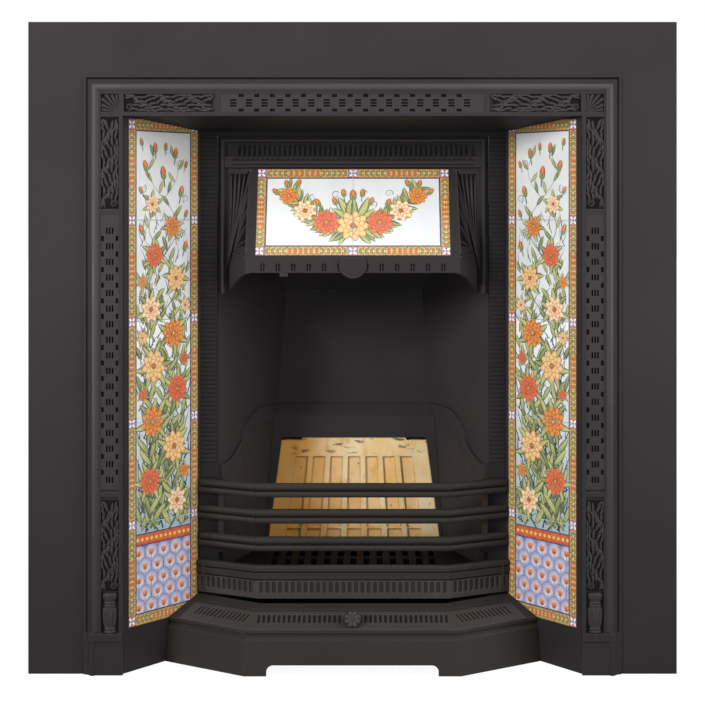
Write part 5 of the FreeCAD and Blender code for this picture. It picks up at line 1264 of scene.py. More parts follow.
@dataclass
class Mouldings(Ornament):
    """Beads that follow the castings' edges, and dark lines of painted shadow in their grooves."""

    CHEEK_LINES = (
        ((136.6, 318.4, 340.0), (147.0, 293.3, 338.4), (158.9, 265.6, 327.1), (167.6, 245.2, 315.1),
         (177.7, 221.9, 292.5), (186.2, 201.3, 276.2), (190.2, 191.0, 262.0)),
        ((137.4, 317.0, 358.0), (147.8, 292.0, 356.0), (156.6, 270.0, 350.5), (167.0, 243.5, 339.0),
         (176.6, 221.5, 323.0), (186.8, 198.5, 302.0), (198.2, 172.0, 286.5), (204.0, 158.0, 280.0)))
    cheek_place: tuple[float, float, float] = (167.4, 245.1, 315.1)
    cheek_out: tuple[float, float, float] = (-0.926, -0.376, -0.035)
    cheek_half: float = 2.2
    plate_foot: float = 64.0
    bar_feet: tuple[float, float, float] = (166.0, 208.5, 248.5)
    bar_angle: float = 27.6

    def build(self) -> None:
        """Casts every bead and every dark line of painted shadow."""
        finishes = self.finishes
        # Painted shadow: a dark line round the foot of the raised frame.
        self.frame_ring("frame_quirk", 394.6, 886.2, 1.5, -4.7, 0.6, finishes.recess)
        # Painted highlight along the frame's bead, over wear from rubbing.
        self.frame_ring("frame_bead", 382.2, 873.0, 5.6, -9.0, 0.55, finishes.rubbed)
        # Painted shadow: dark lines in the hood's grooves.
        shadow_lines = strands("hood_quirks", [straight((-190, t), (190, t), 0.8) for t in (768.2, 761.0)],
                         front(132.3), 0.5)
        finish_piece(shadow_lines, finishes.recess)
        beads = [(foot + rise, 4.2) for foot in self.bar_feet for rise in (15.8, 4.9)]
        # Painted shadow: dark lines between the bars' beads.
        shadow_lines = [(foot + 10.35, 1.1) for foot in self.bar_feet]
        finish_piece(self.wrapped("bar_beads", beads, 149.0, 77.0, 102.0, 0.55), finishes.warm, Body.BARS)
        finish_piece(self.wrapped("bar_quirks", shadow_lines, 149.0, 77.0, 102.0, 0.5), finishes.recess, Body.BARS)
        # Painted shadow: dark lines under the fret's undercuts.
        shadow_lines = [(134.4, 0.9), (123.2, 0.9)]
        finish_piece(self.wrapped("fret_quirks", shadow_lines, 149.6, 74.7, 103.0, 0.4), finishes.recess)
        self.cheeks()

    def wrapped(self, name: str, lines: Sequence[Place], corner: float, depth: float, reach: float,
                flat: float) -> Piece:
        """Runs level beads, or dark lines of painted shadow, round a three-sided front.

        Args:
            name: the piece's name.
            lines: height and half width of each bead in millimetres.
            corner: half the length of the middle side.
            depth: depth of the middle side.
            reach: length of the outer sides.
            flat: height of a bead as a share of its half width.

        Returns:
            The piece.
        """
        splayed = Facet(at(corner, depth, 0), turned(self.bar_angle), UP)
        middle, side = (strands(name, [straight((start, t), (end, t), half) for t, half in lines], face, flat)
                        for start, end, face in ((-corner, corner, front(depth)), (0, reach, splayed)))
        return joined(name, [middle, side, mirror_of(side)])

    def frame_ring(self, name: str, x: float, top: float, half: float, depth: float, flat: float,
                   material: Material) -> None:
        """Runs one bead, or one dark line of painted shadow, up, over and down the raised frame.

        Args:
            name: the piece's name.
            x: its place at each side of the centre line, in millimetres.
            top: its height over the opening.
            half: half its width.
            depth: depth of its middle line.
            flat: its height as a share of its half width.
            material: its finish.
        """
        corner = half * math.sqrt(2)
        path = [(-x, self.plate_foot, half), (-x, top, corner), (x, top, corner), (x, self.plate_foot, half)]
        finish_piece(strands(name, [path], front(depth), flat), material)

    def cheeks(self) -> None:
        """Casts the raised lines inside the shoulders of the liner cheeks."""
        face = facing(at(*self.cheek_place), self.cheek_out)
        paths = []
        for knots in self.CHEEK_LINES:
            places = [at(*(between(a, b, step / 4) for a, b in zip(start, end))) - face.origin
                      for start, end in zip(knots, knots[1:]) for step in range(4)]
            paths.append([(place.dot(face.along) / MM, place.dot(face.up) / MM, self.cheek_half)
                          for place in places])
        finish_pair(strands("right_cheek_lines", paths, face, 0.9), self.finishes.hearth)


@dataclass
class Rosette(Ornament):
    """Petalled face of the cover's knob."""

    PETAL = ((4.2, 1.3), (6.0, 2.3), (8.0, 3.1), (9.8, 3.1), (11.2, 2.3), (12.0, 1.2))
    depth: float = -4.45
    height: float = 82.6
    tilt: float = 25.0
    ring_radius: float = 4.3
    dome_radius: float = 3.0

    def build(self) -> None:
        """Casts the petals, the ring and the dome."""
        tilt = math.radians(self.tilt)
        face = Facet(at(0, self.depth, self.height), RIGHT, Vector((0, math.sin(tilt), math.cos(tilt))))
        petals = []
        for angle in (math.radians(22.5 + 45 * index) for index in range(8)):
            petals.append([(r * math.cos(angle), r * math.sin(angle), half) for r, half in self.PETAL])
        petals.append(ring(self.ring_radius, 0.9, 0, 15, 24))
        finish_piece(strands("knob_rosette", petals, face, 0.62), self.finishes.worn, Body.COVER)
        pick()
        bpy.ops.mesh.primitive_uv_sphere_add(segments=24, ring_count=12, radius=self.dome_radius * MM)
        dome = named("knob_dome")
        dome.data.transform(Matrix.Scale(0.75, 4, UP))
        finish_piece(smooth(placed(dome, face), 60), self.finishes.worn, Body.COVER)


# ----------------------------------------------------------- painted tiles
class Ink(Enum):
    """Colours of the painter's palette, as six hex digits."""

    PALE = "f6f7f6"
    MIST = "9db4ba"
    NIGHT = "1d2a55"
    PINE = "1f3f45"
    MOSS = "4d6a35"
    FERN = "7f9030"
    LIME = "c2c462"
    STRAW = "e2da8e"
    CREAM = "eed88a"
    GOLD = "e2a93a"
    OCHRE = "a9761f"
    ORANGE = "dc6213"
    FLAME = "c2431b"
    CORAL = "df7349"
    PEACH = "f4c283"
    SHELL = "fbeccb"
    RUST = "8a3a1c"
    LILAC = "9494c2"
    DUSK = "555b92"
    PEARL = "e0e0ee"

    def tone(self) -> np.ndarray:
        """Returns the colour in linear light."""
        return np.array(linear(self.value))


class Form(Enum):
    """Outlines of a stroke along its length."""

    LEAF = "leaf"
    PETAL = "petal"
    RIBBON = "ribbon"
    THORN = "thorn"

    def widths(self, shares: np.ndarray) -> np.ndarray:
        """Gives the outline as widths, 1 at the widest.

        Args:
            shares: places along the stroke as shares of its length.

        Returns:
            The width at each place.
        """
        if self is Form.LEAF:
            return np.sin(np.pi * shares) ** 0.75
        if self is Form.PETAL:
            return np.sin(np.pi * (0.12 + 0.80 * shares)) ** 0.8
        if self is Form.THORN:
            return 1 - 0.85 * shares
        return np.ones_like(shares)


def unit(rows: np.ndarray) -> np.ndarray:
    """Returns vectors, one in each row, brought to a length of 1."""
    return rows / np.maximum(1e-6, np.linalg.norm(rows, axis=1))[:, None]


def mixed(first: np.ndarray, last: np.ndarray, share: np.ndarray) -> np.ndarray:
    """Returns two colours mixed by the share of the last."""
    return first * (1 - share) + last * share


def bow(start: Place, heading: float, length: float, bend: float = 0.0, steps: int = 6) -> list[Place]:
    """Draws the points of an arc.

    Args:
        start: its first point in millimetres.
        heading: direction in degrees in which it sets out.
        length: its length.
        bend: degrees that it turns through to the left.
        steps: how many pieces it has.

    Returns:
        The points.
    """
    points = [start]
    for index in range(steps):
        angle = math.radians(heading + bend * (index + 0.5) / steps)
        s, t = points[-1]
        points.append((s + math.cos(angle) * length / steps, t + math.sin(angle) * length / steps))
    return points


class Canvas:
    """A flat sheet in millimetres that strokes and stamps are laid on, each lifted above the last."""

    LIFT = 0.02
    RIM = 0.5
    TIP = 0.45
    DOT_STEPS = 8

    def __init__(self, name: str) -> None:
        """Starts an empty sheet that gets this name once it is done."""
        self.name = name
        self.sheets: list[Piece] = []

    def blank(self, steps: int) -> tuple[np.ndarray, np.ndarray]:
        """Adds a plain grid to the sheet.

        Args:
            steps: how many pieces it has along it.

        Returns:
            For each corner its station along the grid, and its side from -1 to 1.
        """
        name = f"blank_{steps}"
        mesh = bpy.data.meshes.get(name)
        if mesh is None:
            pick()
            bpy.ops.mesh.primitive_grid_add(x_subdivisions=steps, y_subdivisions=2, size=1)
            first = named(name)
            mesh = first.data
            mesh.use_fake_user = True
            bpy.data.objects.remove(first)
        sheet = bpy.data.objects.new(self.name, mesh.copy())
        bpy.context.scene.collection.objects.link(sheet)
        self.sheets.append(sheet)
        places = np.empty(len(mesh.vertices) * 3)
        mesh.vertices.foreach_get("co", places)
        places = places.reshape(-1, 3)
        return np.rint((places[:, 0] + 0.5) * steps).astype(int), places[:, 1] * 2

    def lay(self, flat: np.ndarray, colour: np.ndarray, level: int) -> None:
        """Gives the newest sheet its outline, its height and its colours.

        Args:
            flat: its corners in millimetres.
            colour: the colour of each corner.
            level: how many sheets lie under it.
        """
        data = self.sheets[-1].data
        lifted = np.column_stack((flat, np.full(len(flat), level * self.LIFT))) * MM
        data.vertices.foreach_set("co", lifted.ravel())
        data.attributes.new("paint", "FLOAT_COLOR", "POINT").data.foreach_set("color", colour.ravel())

    def stroke(self, path: Sequence[Place], half: float, inks: Sequence[Ink], level: int = 0,
               form: Form = Form.LEAF, rim: Ink | None = None) -> None:
        """Lays one stroke.

        Args:
            path: its middle line.
            half: half its width at the widest.
            inks: colour of the middle at the start and the end, then of the sides at the start and the end.
            level: how many sheets lie under it.
            form: its outline.
            rim: colour of the line round it, or None.
        """
        points = np.array(path, dtype=float)
        if rim:
            grown = points.copy()
            grown[[0, -1]] += unit(points[[0, -1]] - points[[1, -2]]) * self.TIP
            self.stroke(grown, half + self.RIM, (rim,), level, form)
            level += 1
        along, across = self.blank(len(points) - 1)
        run = unit(np.gradient(points, axis=0))
        left = np.stack((-run[:, 1], run[:, 0]), axis=1)
        shares = np.linspace(0.0, 1.0, len(points))
        width = half * form.widths(shares)
        flat = points[along] + left[along] * (across * width[along])[:, None]
        tones = [ink.tone() for ink in (*inks, *inks, *inks, *inks)[:4]]
        share, edge = shares[along][:, None], np.abs(across)[:, None]
        middle, side = mixed(tones[0], tones[1], share), mixed(tones[2], tones[3], share)
        self.lay(flat, mixed(middle, side, edge), level)

    def line(self, start: Place, end: Place, half: float, inks: Sequence[Ink], level: int) -> None:
        """Lays a straight ribbon of this half width, in a stroke's inks."""
        middle = ((start[0] + end[0]) / 2, (start[1] + end[1]) / 2)
        self.stroke([start, middle, end], half, inks, level, Form.RIBBON)

    def dot(self, centre: Place, radius: float, inks: Sequence[Ink], level: int = 0,
            rim: Ink | None = None) -> None:
        """Lays a round dot.

        Args:
            centre: its middle in millimetres.
            radius: its radius.
            inks: its colour, or its colours in the middle and at the edge.
            level: how many sheets lie under it.
            rim: colour of the line round it, or None.
        """
        if rim:
            self.dot(centre, radius + self.RIM, (rim,), level)
            level += 1
        along, across = self.blank(self.DOT_STEPS)
        turn = np.pi * along / self.DOT_STEPS
        away = np.stack((-radius * np.cos(turn), radius * np.sin(turn) * across), axis=1)
        share = (np.linalg.norm(away, axis=1) / radius)[:, None]
        self.lay(away + np.array(centre), mixed(inks[0].tone(), inks[-1].tone(), share), level)

    def stamp(self, motif: Piece, place: Place, turn: float = 0, scale: float = 1, level: int = 0) -> None:
        """Lays a copy of a finished motif.

        Args:
            motif: the motif, drawn about its own origin.
            place: where its origin goes.
            turn: degrees that it is turned to the left.
            scale: how much it grows.
            level: how many sheets lie under it.
        """
        lift = Matrix.Translation(Vector((*place, level * self.LIFT)) * MM)
        spin = Matrix.Rotation(math.radians(turn), 4, "Z")
        size = Matrix.Diagonal(Vector((scale, scale, 1, 1)))
        self.sheets.append(copied(motif, lift @ spin @ size, self.name))

    def done(self) -> Piece:
        """Joins everything laid so far into one flat piece and returns it."""
        return joined(self.name, self.sheets)


class Flora:
    """Motifs of the painted tiles, each drawn once."""

    FLOWERS = {"cream": (9, (Ink.SHELL, Ink.PEACH, Ink.PEACH, Ink.GOLD), Ink.ORANGE),
               "peach": (8, (Ink.PEACH, Ink.SHELL, Ink.CORAL, Ink.PEACH), Ink.FLAME),
               "coral": (10, (Ink.FLAME, Ink.CORAL, Ink.FLAME, Ink.ORANGE), Ink.GOLD),
               "orange": (9, (Ink.ORANGE, Ink.GOLD, Ink.FLAME, Ink.ORANGE), Ink.CREAM)}
    PETAL_RINGS = ((20.0, 5.6, 0.0, 0), (14.5, 4.4, 0.5, 3), (9.0, 3.2, 0.0, 6))
    LEAVES = ((22, Ink.STRAW, Ink.STRAW, Ink.FERN, Ink.MOSS), (-26, Ink.LIME, Ink.STRAW, Ink.MOSS, Ink.PINE),
              (30, Ink.LIME, Ink.STRAW, Ink.MOSS, Ink.MOSS), (-18, Ink.FERN, Ink.LIME, Ink.PINE, Ink.PINE))

    def __init__(self) -> None:
        """Draws the motifs."""
        self.flowers = {kind: self.flower(kind, *tones) for kind, tones in self.FLOWERS.items()}
        self.leaves = [self.leaf(*tones) for tones in self.LEAVES]
        self.bud = self.opening_bud()
        self.curl = self.tendril()
        self.sprig = self.border_sprig()
        self.lozenge = self.border_lozenge()
        self.corner = self.corner_square()

    def clear(self) -> None:
        """Removes the motifs and the blank grids once everything is painted."""
        for motif in (*self.flowers.values(), *self.leaves, self.bud, self.curl, self.sprig, self.lozenge,
                      self.corner):
            bpy.data.objects.remove(motif)
        for mesh in [mesh for mesh in bpy.data.meshes if mesh.name.startswith("blank_")]:
            bpy.data.meshes.remove(mesh)

    def flower(self, name: str, petals: int, inks: Sequence[Ink], heart: Ink) -> Piece:
        """Draws a round many-petalled flower, 20 mm across its half.

        Args:
            name: the motif's name.
            petals: petals in the outer ring.
            inks: petal colours, middle at root and tip and sides at root and tip.
            heart: colour of the heart.

        Returns:
            The motif.
        """
        canvas = Canvas(name)
        for reach, half, phase, level in self.PETAL_RINGS:
            for index in range(petals):
                angle = 360 * (index + phase) / petals
                turn = math.radians(angle)
                root = (1.5 * math.cos(turn), 1.5 * math.sin(turn))
                petal, vein = bow(root, angle - 5, reach - 1.5, 10), bow(root, angle - 5, reach * 0.62, 8, 4)
                canvas.stroke(petal, half, inks, level + index % 2, Form.PETAL, Ink.RUST)
                canvas.stroke(vein, 0.35, (Ink.RUST,), level + 3, Form.THORN)
        canvas.dot((0, 0), 3.6, (heart, Ink.OCHRE), 11, Ink.RUST)
        for index in range(7):
            turn = 2 * math.pi * index / 7
            canvas.dot((2.3 * math.cos(turn), 2.3 * math.sin(turn)), 0.6, (Ink.RUST,), 13)
        return canvas.done()

    def opening_bud(self) -> Piece:
        """Draws an upright bud on a short stalk, 20 mm long.

        Returns:
            The motif.
        """
        canvas = Canvas("bud")
        canvas.stroke(bow((0, -9), 90, 12, 8, 4), 0.7, (Ink.MOSS,), 0, Form.RIBBON)
        petal, sepal = (Ink.ORANGE, Ink.GOLD, Ink.FLAME, Ink.ORANGE), (Ink.FERN, Ink.LIME, Ink.MOSS, Ink.MOSS)
        for lean, level in ((-14, 1), (14, 1), (0, 3)):
            canvas.stroke(bow((0, 0), 90 + lean, 15, -lean * 1.4), 2.7, petal, level, rim=Ink.RUST)
        for lean in (-38, 38):
            canvas.stroke(bow((0, 0), 90 + lean, 8, -lean, 5), 1.8, sepal, 5, rim=Ink.PINE)
        return canvas.done()

    def leaf(self, bend: float, *inks: Ink) -> Piece:
        """Draws a pointed leaf 30 mm long that sets out to the right.

        Args:
            bend: degrees that it turns through.
            inks: its colours, middle at root and tip and sides at root and tip.

        Returns:
            The motif.
        """
        canvas = Canvas("leaf")
        canvas.stroke(bow((0, 0), -bend / 2, 30, bend, 8), 4.1, inks, rim=Ink.NIGHT)
        canvas.stroke(bow((1, 0), -bend / 2, 25, bend * 0.85), 0.45, (Ink.PINE,), 2, Form.THORN)
        return canvas.done()

    def tendril(self) -> Piece:
        """Draws a thin curling tendril.

        Returns:
            The motif.
        """
        canvas = Canvas("tendril")
        points = [(0.0, 0.0)]
        for index in range(26):
            points.append(bow(points[-1], 40 + index * 19, 2.6 * (1 - index / 34), steps=1)[-1])
        canvas.stroke(points, 0.75, (Ink.PINE, Ink.MOSS), 0, Form.THORN)
        return canvas.done()

    def border_sprig(self) -> Piece:
        """Draws a pair of small leaves with a berry, 8 mm along the border.

        Returns:
            The motif.
        """
        canvas = Canvas("border_sprig")
        green = (Ink.FERN, Ink.OCHRE, Ink.MOSS, Ink.OCHRE)
        for side in SIDES:
            stalk = bow((3.4, side * 1.2), side * 70, 6.4, side * 70, 4)
            canvas.stroke(stalk, 0.85, (Ink.PINE, Ink.RUST), 0, Form.THORN)
            canvas.dot((3.6, side * 6.6), 0.8, (Ink.RUST,))
            canvas.stroke(bow((-3.6, 0), side * 62, 8.2, -side * 66, 5), 1.8, green, rim=Ink.PINE)
            canvas.dot((-0.6, side * 6.0), 0.75, (Ink.GOLD, Ink.ORANGE), 1)
        canvas.dot((0.8, 0), 1.15, (Ink.ORANGE, Ink.RUST), 2)
        return canvas.done()

    def border_lozenge(self) -> Piece:
        """Draws an orange lozenge between two curved leaves, 8 mm along the border.

        Returns:
            The motif.
        """
        canvas = Canvas("border_lozenge")
        glow = (Ink.GOLD, Ink.ORANGE, Ink.ORANGE, Ink.FLAME)
        fade = (Ink.ORANGE, Ink.FERN, Ink.OCHRE, Ink.MOSS)
        canvas.stroke(bow((-4.2, 0), 0, 8.4), 2.9, glow, rim=Ink.RUST)
        canvas.stroke(bow((-2.6, 0), 0, 5.2, 0, 4), 0.8, (Ink.FLAME, Ink.RUST), 2)
        for side in SIDES:
            canvas.dot((-3.6, side * 6.4), 1.0, (Ink.PINE,))
            canvas.stroke(bow((-4.0, side * 3.0), side * 40, 9.0, -side * 80, 5), 1.2, fade, rim=Ink.RUST)
        return canvas.done()

    def corner_square(self) -> Piece:
        """Draws the lilac square with a pale rosette, 16.5 mm wide.

        Returns:
            The motif.
        """
        canvas = Canvas("corner_square")
        lilac = (Ink.LILAC, Ink.LILAC, Ink.CORAL, Ink.CORAL)
        for level, half, inks in ((0, 8.2, (Ink.NIGHT,)), (1, 7.4, lilac)):
            canvas.line((-half, 0), (half, 0), half, inks, level)
        for angle in range(0, 360, 90):
            petal, ray = bow((0, 0), 45 + angle, 7.6, 0, 5), bow((0, 0), angle, 6.4, 0, 4)
            canvas.stroke(petal, 1.9, (Ink.PEARL, Ink.PALE), 2, Form.PETAL, Ink.DUSK)
            canvas.stroke(ray, 0.5, (Ink.NIGHT,), 4, Form.RIBBON)
        canvas.dot((0, 0), 1.7, (Ink.GOLD, Ink.CORAL), 5, Ink.RUST)
        return canvas.done()


@dataclass
class Panel:
    """A painted panel of square tiles with its border."""

    flora: Flora
    name: str
    columns: int
    rows: int
    tile: float = 152.4
    border: float = 17.4
    joint: float = 0.55
    motifs: int = 16
    motif_pitch: float = 8.45
    lozenge_reach: float = 24.0

    def __post_init__(self) -> None:
        """Starts the sheet."""
        self.canvas = Canvas(self.name)
        self.width = self.columns * self.tile
        self.height = self.rows * self.tile
        self.middle = self.width / 2

    def edges(self, inset: float, trim: float) -> list[tuple[Place, Place]]:
        """Runs lines along the panel's sides, set in from its edges.

        Args:
            inset: how far each line lies from its edge, in millimetres.
            trim: how far each line stops short of the corners.

        Returns:
            The ends of the bottom, top, left and right lines.
        """
        (s0, s1), (t0, t1) = ((trim, length - trim) for length in (self.width, self.height))
        return [*(((s0, t), (s1, t)) for t in (inset, self.height - inset)),
                *(((s, t0), (s, t1)) for s in (inset, self.width - inset))]

    def frame_lines(self, squares: Sequence[Place]) -> None:
        """Paints the border's ground, its lines, its running pattern and the lilac squares.

        Args:
            squares: middles of the lilac squares.
        """
        half = self.border / 2
        for (start, end), turn in zip(self.edges(half, 0), (0, 0, 90, 90)):
            self.canvas.line(start, end, half, (Ink.CREAM, Ink.CREAM, Ink.OCHRE, Ink.OCHRE), 20)
            length = math.dist(start, end)
            for tile_index in range(round(length / self.tile)):
                for index in range(self.motifs):
                    offset = (index - (self.motifs - 1) / 2) * self.motif_pitch
                    motif = self.flora.lozenge if abs(offset) < self.lozenge_reach else self.flora.sprig
                    share = ((tile_index + 0.5) * self.tile + offset) / length
                    place = (between(start[0], end[0], share), between(start[1], end[1], share))
                    self.canvas.stamp(motif, place, turn + 180 * (offset > 0), 0.94, 21)
        for start, end in self.edges(self.border, self.border):
            self.canvas.line(start, end, 0.95, (Ink.NIGHT,), 26)
        for square in squares:
            self.canvas.stamp(self.flora.corner, square, level=27)

    def flower(self, kind: str, place: Place, radius: float, turn: float, level: int) -> None:
        """Stamps a flower of this radius."""
        self.canvas.stamp(self.flora.flowers[kind], place, turn, radius / 20.0, level)

    def spray(self, place: Place, heading: float, length: float, kind: int, level: int) -> None:
        """Stamps a leaf that sets out in a direction."""
        self.canvas.stamp(self.flora.leaves[kind % 4], place, heading, length / 30.0, level)

    def tiles(self, whole: Piece) -> list[Piece]:
        """Cuts the painted sheet along the tile joints.

        Args:
            whole: the painted sheet, drawn flat.

        Returns:
            One piece for each tile, row by row.
        """
        pieces = []
        for row, column in ((row, column) for row in range(self.rows) for column in range(self.columns)):
            piece = copied(whole, Matrix.Identity(4), f"{self.name}_{row * self.columns + column + 1}")
            with editing(piece):
                for axis, index in ((RIGHT, column), (Vector((0, 1, 0)), row)):
                    ends = (index * self.tile + self.joint, (index + 1) * self.tile - self.joint)
                    for side, edge in zip(SIDES, ends):
                        bpy.ops.mesh.select_all(action="SELECT")
                        bpy.ops.mesh.bisect(plane_co=axis * edge * MM, plane_no=axis * side, clear_outer=True)
            pieces.append(piece)
        bpy.data.objects.remove(whole)
        return pieces


class SidePanel(Panel):
    """Five tiles with twined vines climbing out of a scalloped foot."""

    BLOOMS = (("peach", 48, 178, 20, 10), ("coral", 106, 214, 21, 40), ("cream", 54, 262, 24, 0),
              ("orange", 101, 304, 23, 25), ("coral", 47, 350, 21, 12), ("cream", 98, 388, 24, 33),
              ("orange", 56, 436, 22, 5), ("peach", 104, 474, 20, 20), ("cream", 50, 520, 19, 48),
              ("coral", 96, 556, 18, 9), ("orange", 58, 600, 16, 30), ("peach", 101, 634, 14, 17),
              ("coral", 121, 346, 9, 0), ("orange", 32, 222, 10, 20), ("cream", 122, 432, 10, 30),
              ("peach", 30, 478, 10, 8), ("orange", 122, 516, 9, 14), ("coral", 32, 396, 9, 40))
    BUDS = ((40, 645, 14, 1.2), (76, 672, -8, 1.35), (112, 684, -20, 1.15), (52, 704, 10, 1.1),
            (94, 712, -4, 1.05), (120, 588, -24, 1.1), (32, 562, 20, 1.05), (30, 690, 24, 0.8),
            (122, 722, -14, 0.8), (72, 716, 4, 0.8), (122, 650, -30, 0.8), (30, 614, 26, 0.85))
    BAND_HEIGHT = 128.0
    SCALE_STEP = (26.4, 20.5)
    VINE_FOOT, VINE_REACH, VINE_SWING, VINE_WAVE = 136.0, 580.0, 31.0, 172.0
    THICKET_FOOT = 138.0

    def paint(self) -> list[Piece]:
        """Paints the panel.

        Returns:
            Its tiles from the bottom up.
        """
        self.foot()
        sky = [(self.middle, self.VINE_FOOT + 40 * i) for i in range(9)]
        self.canvas.stroke(sky, self.middle - self.border, (Ink.MIST, Ink.PALE), 0, Form.RIBBON)
        self.vines()
        self.thicket()
        for index, (kind, s, t, radius, turn) in enumerate(self.BLOOMS):
            for step in range(6):
                self.spray((s, t), turn + 60 * step + 20, radius * 1.65, step + index, 34)
            self.flower(kind, (s, t), radius, turn, 40)
        for s, t, lean, scale in self.BUDS:
            self.canvas.stamp(self.flora.bud, (s, t), lean, scale, 38)
        half = self.border / 2
        heights = [half, *(self.tile * row for row in range(1, self.rows)), self.height - half]
        self.frame_lines([(s, t) for s in (half, self.width - half) for t in heights])
        return self.tiles(self.canvas.done())

    def foot(self) -> None:
        """Paints the scalloped lilac foot under its orange band."""
        left, right, middle, band = self.border, self.width - self.border, self.middle, self.BAND_HEIGHT
        self.canvas.stroke([(middle, 16), (middle, 70), (middle, 122)], middle - self.border,
                           (Ink.DUSK, Ink.LILAC, Ink.NIGHT, Ink.DUSK), 0, Form.RIBBON)
        for row, column in ((row, column) for row in range(5) for column in range(-3, 4)):
            s = middle + (column + row % 2 / 2) * self.SCALE_STEP[0]
            t = 106 - row * self.SCALE_STEP[1]
            if left - 8 < s < right + 8:
                level = 1 + row * 3
                self.canvas.dot((s, t), 14.6, (Ink.PALE, Ink.LILAC), level, Ink.NIGHT)
                self.canvas.stroke(bow((s, t - 10), 90, 9, 6, 4), 0.8, (Ink.MOSS,), level + 2, Form.THORN)
                for lean in (-50, 50, 0):
                    self.canvas.stroke(bow((s, t - 3), 90 + lean, 10.5, -lean, 4), 2.4,
                                       (Ink.ORANGE, Ink.PEACH, Ink.FLAME, Ink.ORANGE), level + 2, Form.PETAL)
        self.canvas.line((left, band), (right, band), 8.6, (Ink.ORANGE, Ink.ORANGE, Ink.FLAME, Ink.FLAME), 17)
        for column in range(12):
            self.canvas.dot((left + 5.4 + column * 9.9, band), 3.0, (Ink.CREAM, Ink.GOLD), 18, Ink.RUST)
        for t in (band - 8.4, band + 8.4):
            self.canvas.line((left, t), (right, t), 0.8, (Ink.NIGHT,), 19)

    def stem(self, side: int, t: float) -> Place:
        """Returns the place of a side's stem at a height."""
        turn = 2 * math.pi * (t - self.VINE_FOOT + 10) / self.VINE_WAVE
        return (self.middle + side * self.VINE_SWING * math.sin(turn), t)

    def vines(self) -> None:
        """Paints two twined stems and their leaves."""
        for side in SIDES:
            path = [self.stem(side, self.VINE_FOOT + self.VINE_REACH * i / 90) for i in range(91)]
            self.canvas.stroke(path, 1.5, (Ink.PINE, Ink.MOSS, Ink.PINE, Ink.PINE), 8, Form.THORN)
            height, index = self.VINE_FOOT + 6, 0
            while height < self.VINE_FOOT + self.VINE_REACH - 4:
                share = (height - self.VINE_FOOT) / self.VINE_REACH
                lean = 34 + 16 * math.sin(index * 2.3)
                heading = 90 + lean * (1 if index % 2 else -1)
                kind, level = index + (side > 0), 10 + index % 4 * 3
                self.spray(self.stem(side, height), heading, 40 - 20 * share, kind, level)
                height += 7.0 + 13.0 * share
                index += 1

    def thicket(self) -> None:
        """Paints the stalks, the leaves and the tendrils that crowd round the stems, thinner with height."""
        foot = self.THICKET_FOOT
        for index in range(260):
            rise = 470 * ((index * 0.618 + 0.3) % 1.0) ** 1.2
            s = 22 + (self.width - 44) * ((index * 0.419) % 1.0)
            path = bow((s, foot + rise), 90 + 40 * math.sin(index * 2.7), 34 - 12 * rise / 470,
                       30 * math.sin(index * 1.1), 5)
            ink = Ink.PINE if index % 3 else Ink.NIGHT
            self.canvas.stroke(path, 1.8 - 1.1 * rise / 470, (ink,), 1, Form.THORN)
        for index in range(118):
            t = foot + 400 * ((index * 0.618) % 1.0) ** 1.25
            s = 24 + (self.width - 48) * ((index * 0.377 + 0.13) % 1.0)
            self.spray((s, t), 90 + 34 * math.sin(index * 1.9), 46 - 0.05 * t, index, 1 + index % 3 * 2)
        for index in range(11):
            s = self.middle + (40 if index % 2 else -40) + 6 * math.sin(index * 2.1)
            self.canvas.stamp(self.flora.curl, (s, 420 + 27 * index), 180 if index % 2 else 0, 0.85, 5)


class HoodPanel(Panel):
    """Two tiles with a garland hung between two upper corners."""

    BLOOMS = (("cream", 152.4, 52, 25, 0), ("coral", 111, 58, 20.5, 12), ("coral", 193.8, 58, 20.5, -12),
              ("peach", 78, 78, 18, 30), ("peach", 226.8, 78, 18, -30), ("orange", 52, 104, 15, 5),
              ("orange", 252.8, 104, 15, -5))
    MIDDLE_LEAVES = ((24, 44, 16), (-6, 38, 17), (54, 34, 16))
    CURLS = ((34, 84, 0), (62, 106, 40), (22, 110, 80), (86, 76, -30))
    BUDS = ((102, 118, 14), (88, 120, -22), (26, 88, 20), (116, 106, 42), (52, 86, 24), (14, 102, 6))
    LOW, REACH, CLIMB = 44.0, 104.0, 76.0

    def paint(self) -> list[Piece]:
        """Paints the panel.

        Returns:
            Its two tiles from the left.
        """
        for side in SIDES:
            self.garland(side)
        self.canvas.stamp(self.flora.bud, (self.middle, 96), 0, 1.25, 20)
        for kind, s, t, radius, turn in self.BLOOMS:
            self.flower(kind, (s, t), radius, turn, 30)
        half = self.border / 2
        places = (half, self.middle, self.width - half)
        self.frame_lines([(s, t) for s in places for t in (half, self.height - half)])
        return self.tiles(self.canvas.done())

    def garland(self, side: int) -> None:
        """Paints one half of the garland, with its leaves, tendrils and buds.

        Args:
            side: -1 for the left half and 1 for the right.
        """
        middle = self.middle
        path = [(middle + side * self.REACH * i / 24, self.LOW + self.CLIMB * (i / 24) ** 2)
                for i in range(25)]
        self.canvas.stroke(path, 1.3, (Ink.PINE, Ink.MOSS), 4, Form.RIBBON)
        for index in range(1, 24):
            slope = math.degrees(math.atan2(2 * self.CLIMB * (index / 24) / self.REACH, side))
            for turn in (-52, 52):
                self.spray(path[index], slope + turn + 8 * math.sin(index * 2.0), 31 - 0.36 * index,
                           index + (turn > 0), 5 + index % 3 * 3)
        for lean, reach, level in self.MIDDLE_LEAVES:
            self.spray((middle + side * 6, 62), 90 - side * lean, reach, level, level)
        for s, t, turn in self.CURLS:
            turn = turn if side > 0 else 180 - turn
            self.canvas.stamp(self.flora.curl, (middle + side * s, t), turn, 0.8, 3)
        for s, t, lean in self.BUDS:
            self.canvas.stamp(self.flora.bud, (middle + side * s, t), -side * lean, 0.95, 20)


